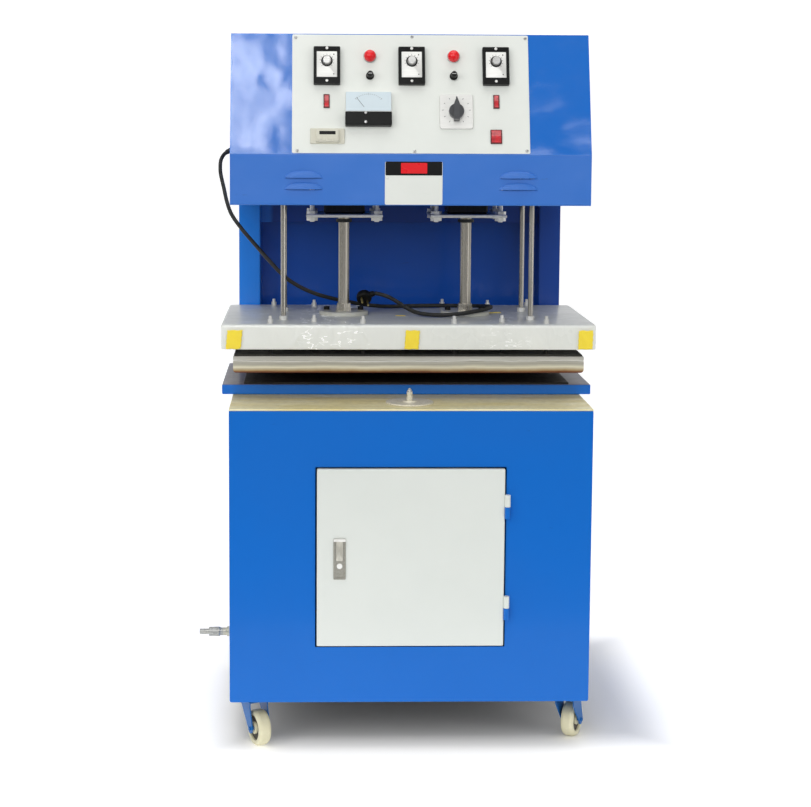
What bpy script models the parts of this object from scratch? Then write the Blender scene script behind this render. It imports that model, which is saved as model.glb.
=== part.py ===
# Blister packing machine: a welded sheet cabinet on casters, a bed with a black pad,
# a column, and a head whose two cylinders lift a heated platen under a white hood.
# Metres, +Z up. Worked out with X = 0 on the centre line, Y = 0 on the cabinet's front
# and Z = 0 on the floor, then shifted by the root empty to the middle of its box.

import bpy
import bmesh
import math
from mathutils import Matrix, Vector

# Common sizes
GAP = 0.0003          # between pieces that touch
SHEET = 0.002         # blue sheet steel
WELD = 0.0005         # how far a welded or pressed shape bites into its sheet
SEGS = 20             # sides of a round piece
SEGS_SMALL = 12
SEGS_LARGE = 30
BEND_R = 0.0035       # outside radius of a fold in sheet steel
BEND_STEPS = 3
EDGE = 0.0006         # broken edge of a cut plate
SMOOTH_TURN = 35.0    # degrees between faces past which an edge stays sharp

# Cabinet
CAB_W = 0.760
CAB_D = 0.700
CAB_Z0 = 0.1080       # underside of the floor sheet
WORKTOP_Z = 0.735     # top of the worktop
WORKTOP_T = 0.004
DOOR_OPEN_W = 0.400
DOOR_OPEN_Z0 = 0.2275
DOOR_OPEN_Z1 = 0.6125
CORNER_CUT = 0.0065    # nick at the front's lower corners

# Door
DOOR_CLEAR = 0.0033   # slit all round the door
DOOR_SHEET = 0.0015
DOOR_RIM = 0.0160     # depth of the folded rim
DOOR_EDGE = 0.0022    # radius of that fold
HINGE_R = 0.0060
HINGE_PIN_R = 0.0030
HINGE_BORE_R = 0.0034
HINGE_SLIT = 0.0005   # the door's edge clears the cabinet's barrels
KNUCKLE_L = 0.0250
HINGE_Z = (0.3125, 0.5290)   # where each hinge's two knuckles meet
LOCK_W = 0.026
LOCK_H = 0.087
LOCK_T = 0.0025
LOCK_X = -0.149
LOCK_Z = 0.4185
LOCK_RECESS = 0.0015
LOCK_BUTTON_Z = -0.0150   # from the lock's middle
LOCK_BUTTON_R = 0.0065
LOCK_LEVER_W = 0.0150
LOCK_LEVER_H = 0.0420
LOCK_LEVER_Z = 0.0170
LOCK_RIM = 0.0035

# Bed
TRAY_W = 0.808
TRAY_Y0 = 0.195
TRAY_Y1 = 0.535
TRAY_H = 0.022
PAD_W = 0.712
PAD_D = 0.330
PAD_H = 0.0035
FLANGE_R = 0.051
FLANGE_Y = 0.081
FLANGE_H = 0.003
PIN_R = 0.00635
PIN_H = 0.032
TRAY_EDGE = 0.0025

# Column
COL_Y0 = 0.540
POST_W = 0.050
POST_RETURN = 0.080
RAIL_H = 0.065
RAIL_D = 0.030

# Head
HEAD_Y0 = 0.084
HEAD_Z0 = 1.154
HEAD_BEND_Z = 1.261
HEAD_TOP_Z = 1.514
HEAD_TOP_Y = 0.160
HEAD_LIP = 0.018
LOUVRE_X = (-0.226, 0.226)
LOUVRE_Z = (1.1875, 1.2115)   # open lower edge of each
LOUVRE_W = 0.085
LOUVRE_H = 0.016
LOUVRE_OUT = 0.0065

# Bars in the head, cylinders and clamp plates
CYL_X = 0.1365
CYL_Y = 0.319
CYL_SQ = 0.090
CYL_L = 0.220
CLAMP_W = 0.168
CLAMP_D = 0.150
CLAMP_T = 0.0065
CLAMP_Z = 1.1195
STUD_DX = 0.071
STUD_DY = 0.060
STUD_R = 0.0050
STUD_TAIL = 0.0025    # stands out below its nut
NUT_AF = 0.021
NUT_H = 0.0075
BAR_Z = 1.190
BAR_T = 0.010
BAR_SIDE = 0.016      # from a row of studs or rods to the bar's far edge
BAR_CLEAR = 0.002     # between a bar and the cylinders
CYL_EDGE = 0.004
CLAMP_EDGE = 0.001
BORE_SPARE = 0.020    # bore left over the rod's end at full lift

# Platen
ROD_R = 0.0125
ROD_CLEAR = 0.0005
ROD_IN_CYL = 0.030    # how far the rod reaches into the cylinder at rest
TRAVEL = 0.120
GUIDE_R = 0.0055
GUIDE_X = 0.270
GUIDE_Y = (0.205, 0.379)
GUIDE_TOP = 1.225
BUSH_R = 0.0110
BUSH_H = 0.018
PLATEN_W = 0.752
PLATEN_Y0 = 0.118
PLATEN_Y1 = 0.520
LOWER_Z = 0.793
LOWER_H = 0.0265
LOWER_EDGE = 0.008    # wide rounding under the heated plate
UPPER_H = 0.0095
BOARD_H = 0.003
BOARD_INSET = 0.003
HOOD_W = 0.805
HOOD_Y0 = 0.116
HOOD_Y1 = 0.522
HOOD_Z0 = 0.8446
HOOD_TOP = 0.8985
HOOD_T = 0.0015
HOOD_EDGE = 0.006
FRONT_STUDS = (-0.297, -0.098, 0.098, 0.297)
MID_STUDS = (-0.203, 0.203)
STUD_Y = (0.140, 0.498)
MID_Y = (0.160, 0.478)
PSTUD_R = 0.0040
DISC_R = 0.055
DISC_H = 0.0085
DISC_EDGE = 0.002
RODNUT_H = 0.0080
RODNUT_AF = 0.032
UPPER_NUT_SHARE = 0.94

# Casters
CASTER_SIDE = {"left": 0.049, "right": 0.033}   # swivel axis from the cabinet's side
CASTER_IN = 0.072     # and from its front or back
CASTER_PLATE = 0.060
PLATE_T = 0.0035
WHEEL_R = 0.038
WHEEL_T = 0.028
TRAIL = 0.028
AXLE_R = 0.0040
AXLE_CLEAR = 0.0004
FORK_T = 0.0025
FORK_GAP = 0.038      # between the fork's legs
FORK_TOP = 0.0935
RACE_R = 0.0205
LEG_BELOW = 0.013     # fork's leg below the axle
EYE_R = 0.011
FORK_BACK = 0.021
FORK_FRONT = 0.026
FORK_BROW = 0.012
AXLE_HEAD = 0.003
HUB_R = 0.012
TREAD_EDGE = 0.004
CASTER_TURN = {"front_left": -65.0, "front_right": 62.0, "rear_left": 200.0, "rear_right": 75.0}

# Control panel, measured along the slope from its lower edge
PLATE_W = 0.500
PLATE_V0 = 0.002
PLATE_BELOW_TOP = 0.0022
PLATE_THICK = 0.0015
TIMERS = (-0.177, 0.002, 0.180)
TIMER_V = 0.1910
TIMER_W = 0.056
TIMER_H = 0.082
TIMER_T = 0.012
DIAL_V = 0.1995
DIAL_R = 0.0095
DIAL_H = 0.011
LAMP_X = (-0.086, 0.091)
LAMP_V = 0.2135
LAMP_R = 0.0140
LAMP_H = 0.0160
FUSE_V = 0.1705
FUSE_R = 0.0085
FUSE_H = 0.0200
ROCKER_X = (-0.1775, 0.1803)
ROCKER_V = 0.1147
ROCKER_W = 0.013
ROCKER_H = 0.030
ROCKER_T = 0.004
METER_X = -0.0897
METER_V = 0.0955
METER_W = 0.097
METER_H = 0.072
METER_T = 0.016
METER_EDGE = 0.002
SEL_X = 0.0953
SEL_V = 0.0924
SEL_W = 0.071
SEL_H = 0.076
SEL_T = 0.005
KNOB_V = 0.0915
KNOB_R = 0.0160
KNOB_H = 0.018
KNOB_TIP = 0.029
KNOB_TAIL = 0.021
COUNTER_X = -0.1758
COUNTER_V = 0.0383
COUNTER_W = 0.072
COUNTER_H = 0.033
COUNTER_T = 0.012
COUNTER_EDGE = 0.0015
POWER_X = 0.1789
POWER_V = 0.0382
POWER_W = 0.0244
POWER_H = 0.0308
POWER_T = 0.005

# Air inlet, cord gland and cord
INLET_Y = 0.200
INLET_Z = 0.203
INLET_L = 0.075
GLAND_Y = 0.575
GLAND_Z = 1.262
GLAND_R = 0.0125
GLAND_L = 0.006
CORD_R = 0.0045
CORD_STEP = 0.020
CORD_END = 0.005      # straight bit where a stretch ends
HANGING = (
    (-0.3868, 0.5750, 1.2620), (-0.3925, 0.5748, 1.2616), (-0.4008, 0.5736, 1.2597),
    (-0.4087, 0.5709, 1.2559), (-0.4159, 0.5667, 1.2500), (-0.4212, 0.5606, 1.2419),
    (-0.4240, 0.5522, 1.2309), (-0.4236, 0.5386, 1.2129), (-0.4208, 0.5265, 1.1983),
    (-0.4133, 0.5010, 1.1722), (-0.4057, 0.4723, 1.1447), (-0.3930, 0.4280, 1.1170),
    (-0.3710, 0.3920, 1.0890), (-0.3420, 0.3600, 1.0580), (-0.2792, 0.3348, 0.9905),
    (-0.2438, 0.3355, 0.9632), (-0.2043, 0.3431, 0.9435), (-0.1635, 0.3562, 0.9303),
    (-0.1235, 0.3739, 0.9202),
)
LYING = (
    (-0.1235, 0.3739, 0.9202), (-0.0848, 0.3949, 0.9117), (-0.0455, 0.4158, 0.9057),
    (-0.0039, 0.4324, 0.9043), (0.0399, 0.4421, 0.9043), (0.0846, 0.4457, 0.9045),
    (0.1292, 0.4429, 0.9046), (0.1676, 0.4210, 0.9065), (0.1904, 0.3829, 0.9099),
    (0.1970, 0.3389, 0.9131), (0.1865, 0.2956, 0.9142), (0.1567, 0.2630, 0.9115),
    (0.1152, 0.2473, 0.9069), (0.0706, 0.2469, 0.9043), (0.0288, 0.2621, 0.9072),
    (0.0041, 0.2847, 0.9156), (-0.0114, 0.3036, 0.9243), (-0.0242, 0.3165, 0.9314),
    (-0.0366, 0.3247, 0.9370), (-0.0512, 0.3290, 0.9416), (-0.0668, 0.3290, 0.9448),
)
PLUG_R = 0.0170
PLUG_T = 0.020        # thickness of the plug's round body, along its pins
RELIEF_L = 0.010
CORD_INTO = (-0.929, 0.120, -0.350)   # the cord's way into the plug's side
PIN_WAY = (0.086, -0.850, -0.519)
PLUG_PIN_L = 0.018
PLUG_PIN_R = 0.0024
PLUG_PIN_X = 0.008    # from the body's axis to each pin

COLOURS = {
    "blue_paint": ((0.022, 0.170, 0.630), 0.32, 0.0),
    "deep_blue_paint": ((0.010, 0.060, 0.300), 0.30, 0.0),
    "white_paint": ((0.760, 0.780, 0.730), 0.38, 0.0),
    "panel_plate": ((0.860, 0.870, 0.840), 0.40, 0.0),
    "gold_plate": ((0.480, 0.430, 0.250), 0.35, 0.7),
    "zinc": ((0.620, 0.620, 0.600), 0.30, 1.0),
    "chrome": ((0.780, 0.780, 0.780), 0.10, 1.0),
    "brass": ((0.700, 0.560, 0.300), 0.30, 1.0),
    "aluminium": ((0.700, 0.690, 0.660), 0.35, 1.0),
    "insulation": ((0.040, 0.040, 0.045), 0.80, 0.0),
    "black_rubber": ((0.015, 0.015, 0.016), 0.70, 0.0),
    "black_plastic": ((0.018, 0.018, 0.020), 0.35, 0.0),
    "red_plastic": ((0.560, 0.020, 0.020), 0.25, 0.0),
    "beige_plastic": ((0.620, 0.600, 0.500), 0.45, 0.0),
    "cream_wheel": ((0.800, 0.760, 0.600), 0.40, 0.0),
}


def clear_scene():
    for item in list(bpy.data.objects):
        bpy.data.objects.remove(item, do_unlink=True)


def make_collection(name):
    group = bpy.data.collections.new(name)
    bpy.context.scene.collection.children.link(group)
    return group


def material(name):
    if name in bpy.data.materials:
        return bpy.data.materials[name]
    colour, rough, metal = COLOURS[name]
    made = bpy.data.materials.new(name)
    made.use_nodes = True
    shader = made.node_tree.nodes["Principled BSDF"]
    shader.inputs["Base Color"].default_value = (*colour, 1.0)
    shader.inputs["Roughness"].default_value = rough
    shader.inputs["Metallic"].default_value = metal
    made.diffuse_color = (*colour, 1.0)
    return made


# Shapes: each returns a mesh in the machine's own frame

def mesh_of(shape, matrix=None):
    mesh = bpy.data.meshes.new("shape")
    if matrix is not None:
        bmesh.ops.transform(shape, matrix=matrix, verts=shape.verts)
    shape.to_mesh(mesh)
    shape.free()
    return mesh


def block(low, high, bevel=0.0, steps=1):
    """A box between two corners, its edges rounded by bevel."""
    low, high = Vector(low), Vector(high)
    shape = bmesh.new()
    bmesh.ops.create_cube(shape, size=1.0)
    size = high - low
    bmesh.ops.scale(shape, vec=size, verts=shape.verts)
    bmesh.ops.translate(shape, vec=(low + high) / 2, verts=shape.verts)
    if bevel:
        bmesh.ops.bevel(shape, geom=shape.edges, offset=bevel, segments=steps,
                        affect="EDGES", profile=0.5)
    return mesh_of(shape)


def along(axis):
    """The turn that brings +Z onto the axis."""
    return Vector((0, 0, 1)).rotation_difference(Vector(axis)).to_matrix().to_4x4()


def rod(start, axis, length, radius, sides=SEGS, radius_end=None):
    """A cylinder, cone or hexagon from start along the axis."""
    shape = bmesh.new()
    bmesh.ops.create_cone(shape, cap_ends=True, segments=sides, radius1=radius,
                          radius2=radius if radius_end is None else radius_end, depth=length)
    bmesh.ops.translate(shape, vec=(0, 0, length / 2), verts=shape.verts)
    return mesh_of(shape, Matrix.Translation(start) @ along(axis))


def nut(start, axis, height, across_flats):
    return rod(start, axis, height, across_flats / math.sqrt(3), sides=6)


def baked(obj):
    """The object's evaluated mesh, in place; the object is removed."""
    bpy.context.view_layer.update()
    graph = bpy.context.evaluated_depsgraph_get()
    mesh = bpy.data.meshes.new_from_object(obj.evaluated_get(graph))
    shape = bmesh.new()
    shape.from_mesh(mesh)
    bmesh.ops.remove_doubles(shape, verts=shape.verts, dist=1e-6)
    placed = mesh_of(shape, obj.matrix_world.copy())
    bpy.data.objects.remove(obj, do_unlink=True)
    return placed


def turned(start, axis, profile, sides=SEGS):
    """A closed profile of (radius, height) points, turned about the axis.
    The points run down the outer side first."""
    mesh = bpy.data.meshes.new("profile")
    count = len(profile)
    closed = profile[0][0] > 1e-7 and profile[-1][0] > 1e-7
    edges = [(i, i + 1) for i in range(count - 1)] + ([(count - 1, 0)] if closed else [])
    mesh.from_pydata([(r, 0, h) for r, h in profile], edges, [])
    obj = bpy.data.objects.new("profile", mesh)
    bpy.context.scene.collection.objects.link(obj)
    screw = obj.modifiers.new("turn", "SCREW")
    screw.axis = "Z"
    screw.steps = sides
    screw.render_steps = sides
    screw.use_merge_vertices = True
    screw.merge_threshold = 1e-5
    obj.matrix_world = Matrix.Translation(start) @ along(axis)
    return baked(obj)


def prism(outline, thickness, matrix):
    """A flat outline in local XY, thickened evenly about its plane, placed by the matrix."""
    curve = bpy.data.curves.new("outline", "CURVE")
    curve.dimensions = "2D"
    curve.fill_mode = "BOTH"
    curve.extrude = thickness / 2
    spline = curve.splines.new("POLY")
    spline.points.add(len(outline) - 1)
    for point, (x, y) in zip(spline.points, outline):
        point.co = (x, y, 0, 1)
    spline.use_cyclic_u = True
    obj = bpy.data.objects.new("outline", curve)
    bpy.context.scene.collection.objects.link(obj)
    obj.matrix_world = matrix
    return baked(obj)


def across(x0, x1):
    """Local X, Y, Z to machine Y, Z, X: an outline in the side view, from x0 to x1."""
    turn = Matrix(((0, 0, 1, 0), (1, 0, 0, 0), (0, 1, 0, 0), (0, 0, 0, 1)))
    return Matrix.Translation(((x0 + x1) / 2, 0, 0)) @ turn


def upright(z0, z1):
    return Matrix.Translation((0, 0, (z0 + z1) / 2))


def facing(y0, y1):
    """Local X, Y, Z to machine X, Z, -Y: an outline in the front view, from y0 to y1."""
    turn = Matrix(((1, 0, 0, 0), (0, 0, -1, 0), (0, 1, 0, 0), (0, 0, 0, 1)))
    return Matrix.Translation((0, (y0 + y1) / 2, 0)) @ turn


def side_prism(outline, x0, x1):
    return prism(outline, abs(x1 - x0), across(x0, x1))


def plan_prism(outline, z0, z1):
    return prism(outline, z1 - z0, upright(z0, z1))


def offset(points, distance):
    """The open line moved to its left by the distance, with mitred corners."""
    vectors = [Vector(p) for p in points]
    moved = []
    for i, here in enumerate(vectors):
        before = (here - vectors[i - 1]).normalized() if i else None
        after = (vectors[i + 1] - here).normalized() if i < len(vectors) - 1 else None
        normals = [Vector((-d.y, d.x)) for d in (before, after) if d is not None]
        middle = sum(normals, Vector((0, 0))).normalized()
        moved.append(here + middle * (distance / middle.dot(normals[0])))
    return [tuple(p) for p in moved]


def folded_line(points):
    """The line with each inner corner turned into an arc of the bend's radius."""
    vectors = [Vector(p) for p in points]
    line = [vectors[0]]
    for before, corner, after in zip(vectors, vectors[1:], vectors[2:]):
        back, ahead = (before - corner).normalized(), (after - corner).normalized()
        half = back.angle(ahead) / 2
        centre = corner + (back + ahead).normalized() * (BEND_R / math.sin(half))
        spokes = [corner + way * (BEND_R / math.tan(half)) - centre for way in (back, ahead)]
        first, last = (math.atan2(spoke.y, spoke.x) for spoke in spokes)
        turn = math.remainder(last - first, 2 * math.pi)
        for i in range(BEND_STEPS + 1):
            angle = first + turn * i / BEND_STEPS
            line.append(centre + BEND_R * Vector((math.cos(angle), math.sin(angle))))
    return [tuple(p) for p in line + [vectors[-1]]]


def bent(points, thickness):
    """The outline of a sheet folded along the points, its thickness to their left."""
    line = folded_line(points)
    return line + offset(line, thickness)[::-1]


def pipe(points, radius, step):
    """A round cord along a smooth curve through the points."""
    curve = bpy.data.curves.new("route", "CURVE")
    curve.dimensions = "3D"
    curve.bevel_depth = radius
    curve.bevel_resolution = 2
    curve.use_fill_caps = True
    route = smooth_route(points, step)
    spline = curve.splines.new("POLY")
    spline.points.add(len(route) - 1)
    for point, place in zip(spline.points, route):
        point.co = (*place, 1)
    obj = bpy.data.objects.new("route", curve)
    bpy.context.scene.collection.objects.link(obj)
    return baked(obj)


def smooth_route(points, step):
    """Points a step apart on the curve that passes through the route's own points."""
    knots = [Vector(p) for p in points]
    knots = [2 * knots[0] - knots[1]] + knots + [2 * knots[-1] - knots[-2]]
    route = [knots[1]]
    for a, b, c, d in zip(knots, knots[1:], knots[2:], knots[3:]):
        count = max(1, round((c - b).length / step))
        for i in range(1, count + 1):
            t = i / count
            route.append(0.5 * (2 * b + (c - a) * t + (2 * a - 5 * b + 4 * c - d) * t ** 2
                                + (3 * b - a - 3 * c + d) * t ** 3))
    return route


def solids_done(mesh, others, operation):
    """The mesh after a Boolean with each of the others."""
    body = bpy.data.objects.new("body", mesh)
    bpy.context.scene.collection.objects.link(body)
    tools = []
    for other in others:
        tool = bpy.data.objects.new("cutter", other)
        CUTTERS.objects.link(tool)
        tool.hide_render = True
        tool.display_type = "WIRE"
        tools.append(tool)
        step = body.modifiers.new(operation.lower(), "BOOLEAN")
        step.operation = operation
        step.solver = "EXACT"
        step.object = tool
    made = baked(body)
    for tool in tools:
        bpy.data.objects.remove(tool, do_unlink=True)
    return made


def cut(mesh, *cutters):
    return solids_done(mesh, cutters, "DIFFERENCE")


def join(mesh, *others):
    return solids_done(mesh, others, "UNION")


def common(mesh, *others):
    return solids_done(mesh, others, "INTERSECT")


def pivot(name, place, parent):
    """An empty on a joint's axis."""
    empty = bpy.data.objects.new(name, None)
    PARTS.objects.link(empty)
    empty.empty_display_size = 0.03
    empty.parent = parent
    up = parent["place"] if parent else (0, 0, 0)
    empty.location = Vector(place) - Vector(up)
    empty["place"] = tuple(place)
    return empty


def node(name, look, parent, mesh):
    """One named piece, hung on its body's empty."""
    mesh.name = name
    mesh.transform(Matrix.Translation(-Vector(parent["place"])))
    mesh.materials.append(material(look))
    mesh.shade_smooth()
    mesh.set_sharp_from_angle(angle=math.radians(SMOOTH_TURN))
    obj = bpy.data.objects.new(name, mesh)
    PARTS.objects.link(obj)
    obj.parent = parent
    return obj


# The slope of the control panel

SLOPE = Vector((0, HEAD_TOP_Y - HEAD_Y0, HEAD_TOP_Z - HEAD_BEND_Z))
SLOPE_UP = SLOPE.normalized()
SLOPE_OUT = Vector((0, -SLOPE_UP.z, SLOPE_UP.y))
PANEL = Matrix.Translation((0, HEAD_Y0, HEAD_BEND_Z)) @ Matrix((
    (1, 0, 0, 0),
    (0, SLOPE_UP.y, SLOPE_OUT.y, 0),
    (0, SLOPE_UP.z, SLOPE_OUT.z, 0),
    (0, 0, 0, 1)))
PANEL_FACE = GAP + PLATE_THICK       # height of the plate's face over the slope
ON_PLATE = PANEL_FACE + GAP
IN_PLATE = GAP + PLATE_THICK / 2     # where what is fixed in the plate starts


def panel_point(x, v, height):
    return PANEL @ Vector((x, v, height))


def on_panel(mesh):
    """A shape worked out with X along the panel, Y up its slope and Z out of it."""
    mesh.transform(PANEL)
    return mesh


def panel_block(x, v, width, height, low, high, bevel=0.0):
    corner = (x - width / 2, v - height / 2, low)
    return on_panel(block(corner, (x + width / 2, v + height / 2, high), bevel))


def build_cabinet(root):
    half = CAB_W / 2
    z0 = CAB_Z0
    z1 = WORKTOP_Z - WORKTOP_T - GAP
    door = DOOR_OPEN_W / 2
    for side, sign in (("left", -1), ("right", 1)):
        outline = [(sign * door, z0), (sign * (half - CORNER_CUT), z0), (sign * half, z0 + CORNER_CUT),
                   (sign * half, z1), (sign * door, z1)]
        node(f"cabinet_front_{side}", "blue_paint", root, prism(outline, SHEET, facing(0, SHEET)))
    left, right = -door + GAP, door - GAP
    node("cabinet_front_top", "blue_paint", root, block((left, 0, DOOR_OPEN_Z1), (right, SHEET, z1)))
    node("cabinet_front_bottom", "blue_paint", root, block((left, 0, z0), (right, SHEET, DOOR_OPEN_Z0)))
    inner = SHEET + GAP
    side = [(inner + CORNER_CUT, z0), (CAB_D - inner, z0), (CAB_D - inner, z1), (inner, z1),
            (inner, z0 + CORNER_CUT)]
    node("cabinet_left_side", "blue_paint", root, side_prism(side, -half, -half + SHEET))
    node("cabinet_right_side", "blue_paint", root, side_prism(side, half - SHEET, half))
    node("cabinet_back", "blue_paint", root, block((-half, CAB_D - SHEET, z0), (half, CAB_D, z1)))
    floor = block((-half + inner, inner, z0), (half - inner, CAB_D - inner, z0 + SHEET))
    node("cabinet_floor", "blue_paint", root, join(floor, *caster_plates()))
    node("worktop", "gold_plate", root,
         block((-half, 0, WORKTOP_Z - WORKTOP_T), (half, CAB_D, WORKTOP_Z), bevel=EDGE))


def build_bed(root):
    node("pivot_flange", "gold_plate", root,
         turned((0, FLANGE_Y, WORKTOP_Z + GAP), (0, 0, 1),
                [(0, PIN_H), (PIN_R * 0.35, PIN_H - 0.001), (PIN_R, PIN_H - 0.008), (PIN_R, PIN_H - 0.014),
                 (PIN_R * 0.8, PIN_H - 0.0155), (PIN_R, PIN_H - 0.017), (PIN_R, FLANGE_H * 1.8),
                 (PIN_R * 2.2, FLANGE_H * 1.8), (PIN_R * 2.4, FLANGE_H), (FLANGE_R - 0.001, FLANGE_H),
                 (FLANGE_R, FLANGE_H - 0.001), (FLANGE_R, 0), (0, 0)], SEGS_LARGE))
    half = TRAY_W / 2
    z = WORKTOP_Z + GAP
    node("bed_tray", "blue_paint", root,
         block((-half, TRAY_Y0, z), (half, TRAY_Y1, z + TRAY_H), bevel=TRAY_EDGE, steps=2))
    z += TRAY_H + GAP
    middle = (TRAY_Y0 + TRAY_Y1) / 2
    node("bed_pad", "black_rubber", root,
         block((-PAD_W / 2, middle - PAD_D / 2, z), (PAD_W / 2, middle + PAD_D / 2, z + PAD_H), bevel=EDGE))


def build_column(root):
    half = CAB_W / 2
    z0 = WORKTOP_Z + GAP
    z1 = HEAD_Z0
    inner = SHEET + GAP
    back = COL_Y0 + POST_RETURN
    posts = []
    for sign in (-1, 1):
        line = [(sign * half, COL_Y0), (sign * (half - POST_W), COL_Y0), (sign * (half - POST_W), back - GAP)]
        posts.append(plan_prism(bent(line, -sign * SHEET), z0, z1))
    rail = block((-half + POST_W - SHEET / 2, back - RAIL_D, z1 - RAIL_H),
                 (half - POST_W + SHEET / 2, back - RAIL_D + SHEET, z1))
    node("column_frame", "blue_paint", root, join(rail, *posts))
    node("column_back_panel", "deep_blue_paint", root,
         block((-half + inner, back, z0), (half - inner, back + SHEET, z1)))
    node("rear_cover", "blue_paint", root,
         block((-half, CAB_D - SHEET, z0), (half, CAB_D, HEAD_TOP_Z - SHEET - GAP)))


def louvre(x, z, wall):
    """A pressed louvre's bulge, open downwards; with a wall, the hollow inside it."""
    shape = bmesh.new()
    bmesh.ops.create_uvsphere(shape, u_segments=SEGS_SMALL, v_segments=8, radius=1.0)
    bmesh.ops.scale(shape, vec=(LOUVRE_W / 2 - wall, LOUVRE_OUT - wall, LOUVRE_H - wall), verts=shape.verts)
    bmesh.ops.translate(shape, vec=(x, HEAD_Y0 + WELD, z - WELD), verts=shape.verts)
    low = z - wall / 2
    back = HEAD_Y0 + (SHEET / 2 if wall == 0 else LOUVRE_OUT)
    above = block((x - LOUVRE_W, HEAD_Y0 - 2 * LOUVRE_OUT, low), (x + LOUVRE_W, back, z + 2 * LOUVRE_H))
    return common(mesh_of(shape), above)


def build_head(root):
    half = CAB_W / 2
    front = [(HEAD_Y0 + HEAD_LIP, HEAD_Z0), (HEAD_Y0, HEAD_Z0), (HEAD_Y0, HEAD_BEND_Z),
             (HEAD_TOP_Y, HEAD_TOP_Z)]
    skin = side_prism(bent(front, -SHEET), -half, half)
    scoops = [louvre(x, z, 0) for x in LOUVRE_X for z in LOUVRE_Z]
    slots = [louvre(x, z, SHEET) for x in LOUVRE_X for z in LOUVRE_Z]
    node("head_fascia", "blue_paint", root, cut(join(skin, *scoops), *slots))
    inside = offset(folded_line(front), -(SHEET + GAP))
    (bend_y, bend_z), (end_y, end_z) = inside[-2:]
    top = HEAD_TOP_Z - SHEET - GAP
    y_top = bend_y + (end_y - bend_y) / (end_z - bend_z) * (top - bend_z)
    rear = CAB_D - SHEET - GAP
    lip = HEAD_Y0 + HEAD_LIP + GAP
    column = COL_Y0 + SHEET + GAP
    outline = [(lip, HEAD_Z0 + SHEET + GAP), (lip, HEAD_Z0), (column, HEAD_Z0), (column, WORKTOP_Z + GAP),
               (rear, WORKTOP_Z + GAP), (rear, top), (y_top, top)] + inside[-2:0:-1]
    node("upper_left_side", "blue_paint", root, side_prism(outline, -half, -half + SHEET))
    node("upper_right_side", "blue_paint", root, side_prism(outline, half - SHEET, half))
    node("head_top", "blue_paint", root,
         block((-half, HEAD_TOP_Y + SHEET + GAP, HEAD_TOP_Z - SHEET), (half, CAB_D, HEAD_TOP_Z)))


def build_drive(root):
    inner = CAB_W / 2 - SHEET - GAP
    low = CYL_Y - CYL_SQ / 2 - BAR_CLEAR
    front_bar = block((-inner, GUIDE_Y[0] - BAR_SIDE, BAR_Z), (inner, low, BAR_Z + BAR_T))
    rear_bar = block((-inner, CYL_Y + CYL_SQ / 2 + BAR_CLEAR, BAR_Z),
                     (inner, GUIDE_Y[1] + BAR_SIDE, BAR_Z + BAR_T))
    for name, bar, y in (("head_front_bar", front_bar, GUIDE_Y[0]), ("head_rear_bar", rear_bar, GUIDE_Y[1])):
        long = BUSH_H + BAR_T / 2
        bushes = [rod((x, y, BAR_Z - BUSH_H), (0, 0, 1), long, BUSH_R) for x in (-GUIDE_X, GUIDE_X)]
        holes = [rod((x, y, BAR_Z - 2 * BUSH_H), (0, 0, 1), 3 * BUSH_H, GUIDE_R + ROD_CLEAR)
                 for x in (-GUIDE_X, GUIDE_X)]
        node(name, "deep_blue_paint", root, cut(join(bar, *bushes), *holes))
    for side, x in (("left", -CYL_X), ("right", CYL_X)):
        build_cylinder(root, side, x)


def clamp_stud(spot, height):
    """A stud with a nut under the clamp plate and one over it."""
    radius = NUT_AF / math.sqrt(3)
    tail = NUT_H + STUD_TAIL
    plate = CLAMP_T - 0.0002
    return turned((*spot, CLAMP_Z - tail), (0, 0, 1),
                  [(0, tail + height), (STUD_R, tail + height), (STUD_R, tail + plate + NUT_H),
                   (radius, tail + plate + NUT_H), (radius, tail + plate), (STUD_R, tail + plate),
                   (STUD_R, tail), (radius, tail), (radius, tail - NUT_H), (STUD_R, tail - NUT_H),
                   (STUD_R, 0), (0, 0)], 6)


def build_cylinder(root, side, x):
    """One lift cylinder on its clamp plate, hung from the bars by four studs."""
    top = CLAMP_Z + CLAMP_T
    half_w, half_d = CLAMP_W / 2, CLAMP_D / 2
    plate = block((x - half_w, CYL_Y - half_d, CLAMP_Z), (x + half_w, CYL_Y + half_d, top), bevel=CLAMP_EDGE)
    bore = rod((x, CYL_Y, CLAMP_Z - CLAMP_T), (0, 0, 1), 3 * CLAMP_T, ROD_R + ROD_CLEAR)
    studs = [clamp_stud((x + dx, CYL_Y + dy), BAR_Z - GAP - CLAMP_Z)
             for dx in (-STUD_DX, STUD_DX) for dy in (-STUD_DY, STUD_DY)]
    node(f"{side}_clamp_plate", "zinc", root, join(cut(plate, bore), *studs))
    body = block((x - CYL_SQ / 2, CYL_Y - CYL_SQ / 2, top + GAP),
                 (x + CYL_SQ / 2, CYL_Y + CYL_SQ / 2, top + GAP + CYL_L), bevel=CYL_EDGE)
    bore = rod((x, CYL_Y, CLAMP_Z), (0, 0, 1), CLAMP_T + ROD_IN_CYL + TRAVEL + BORE_SPARE, ROD_R + ROD_CLEAR)
    node(f"{side}_cylinder", "black_plastic", root, cut(body, bore))


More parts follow.
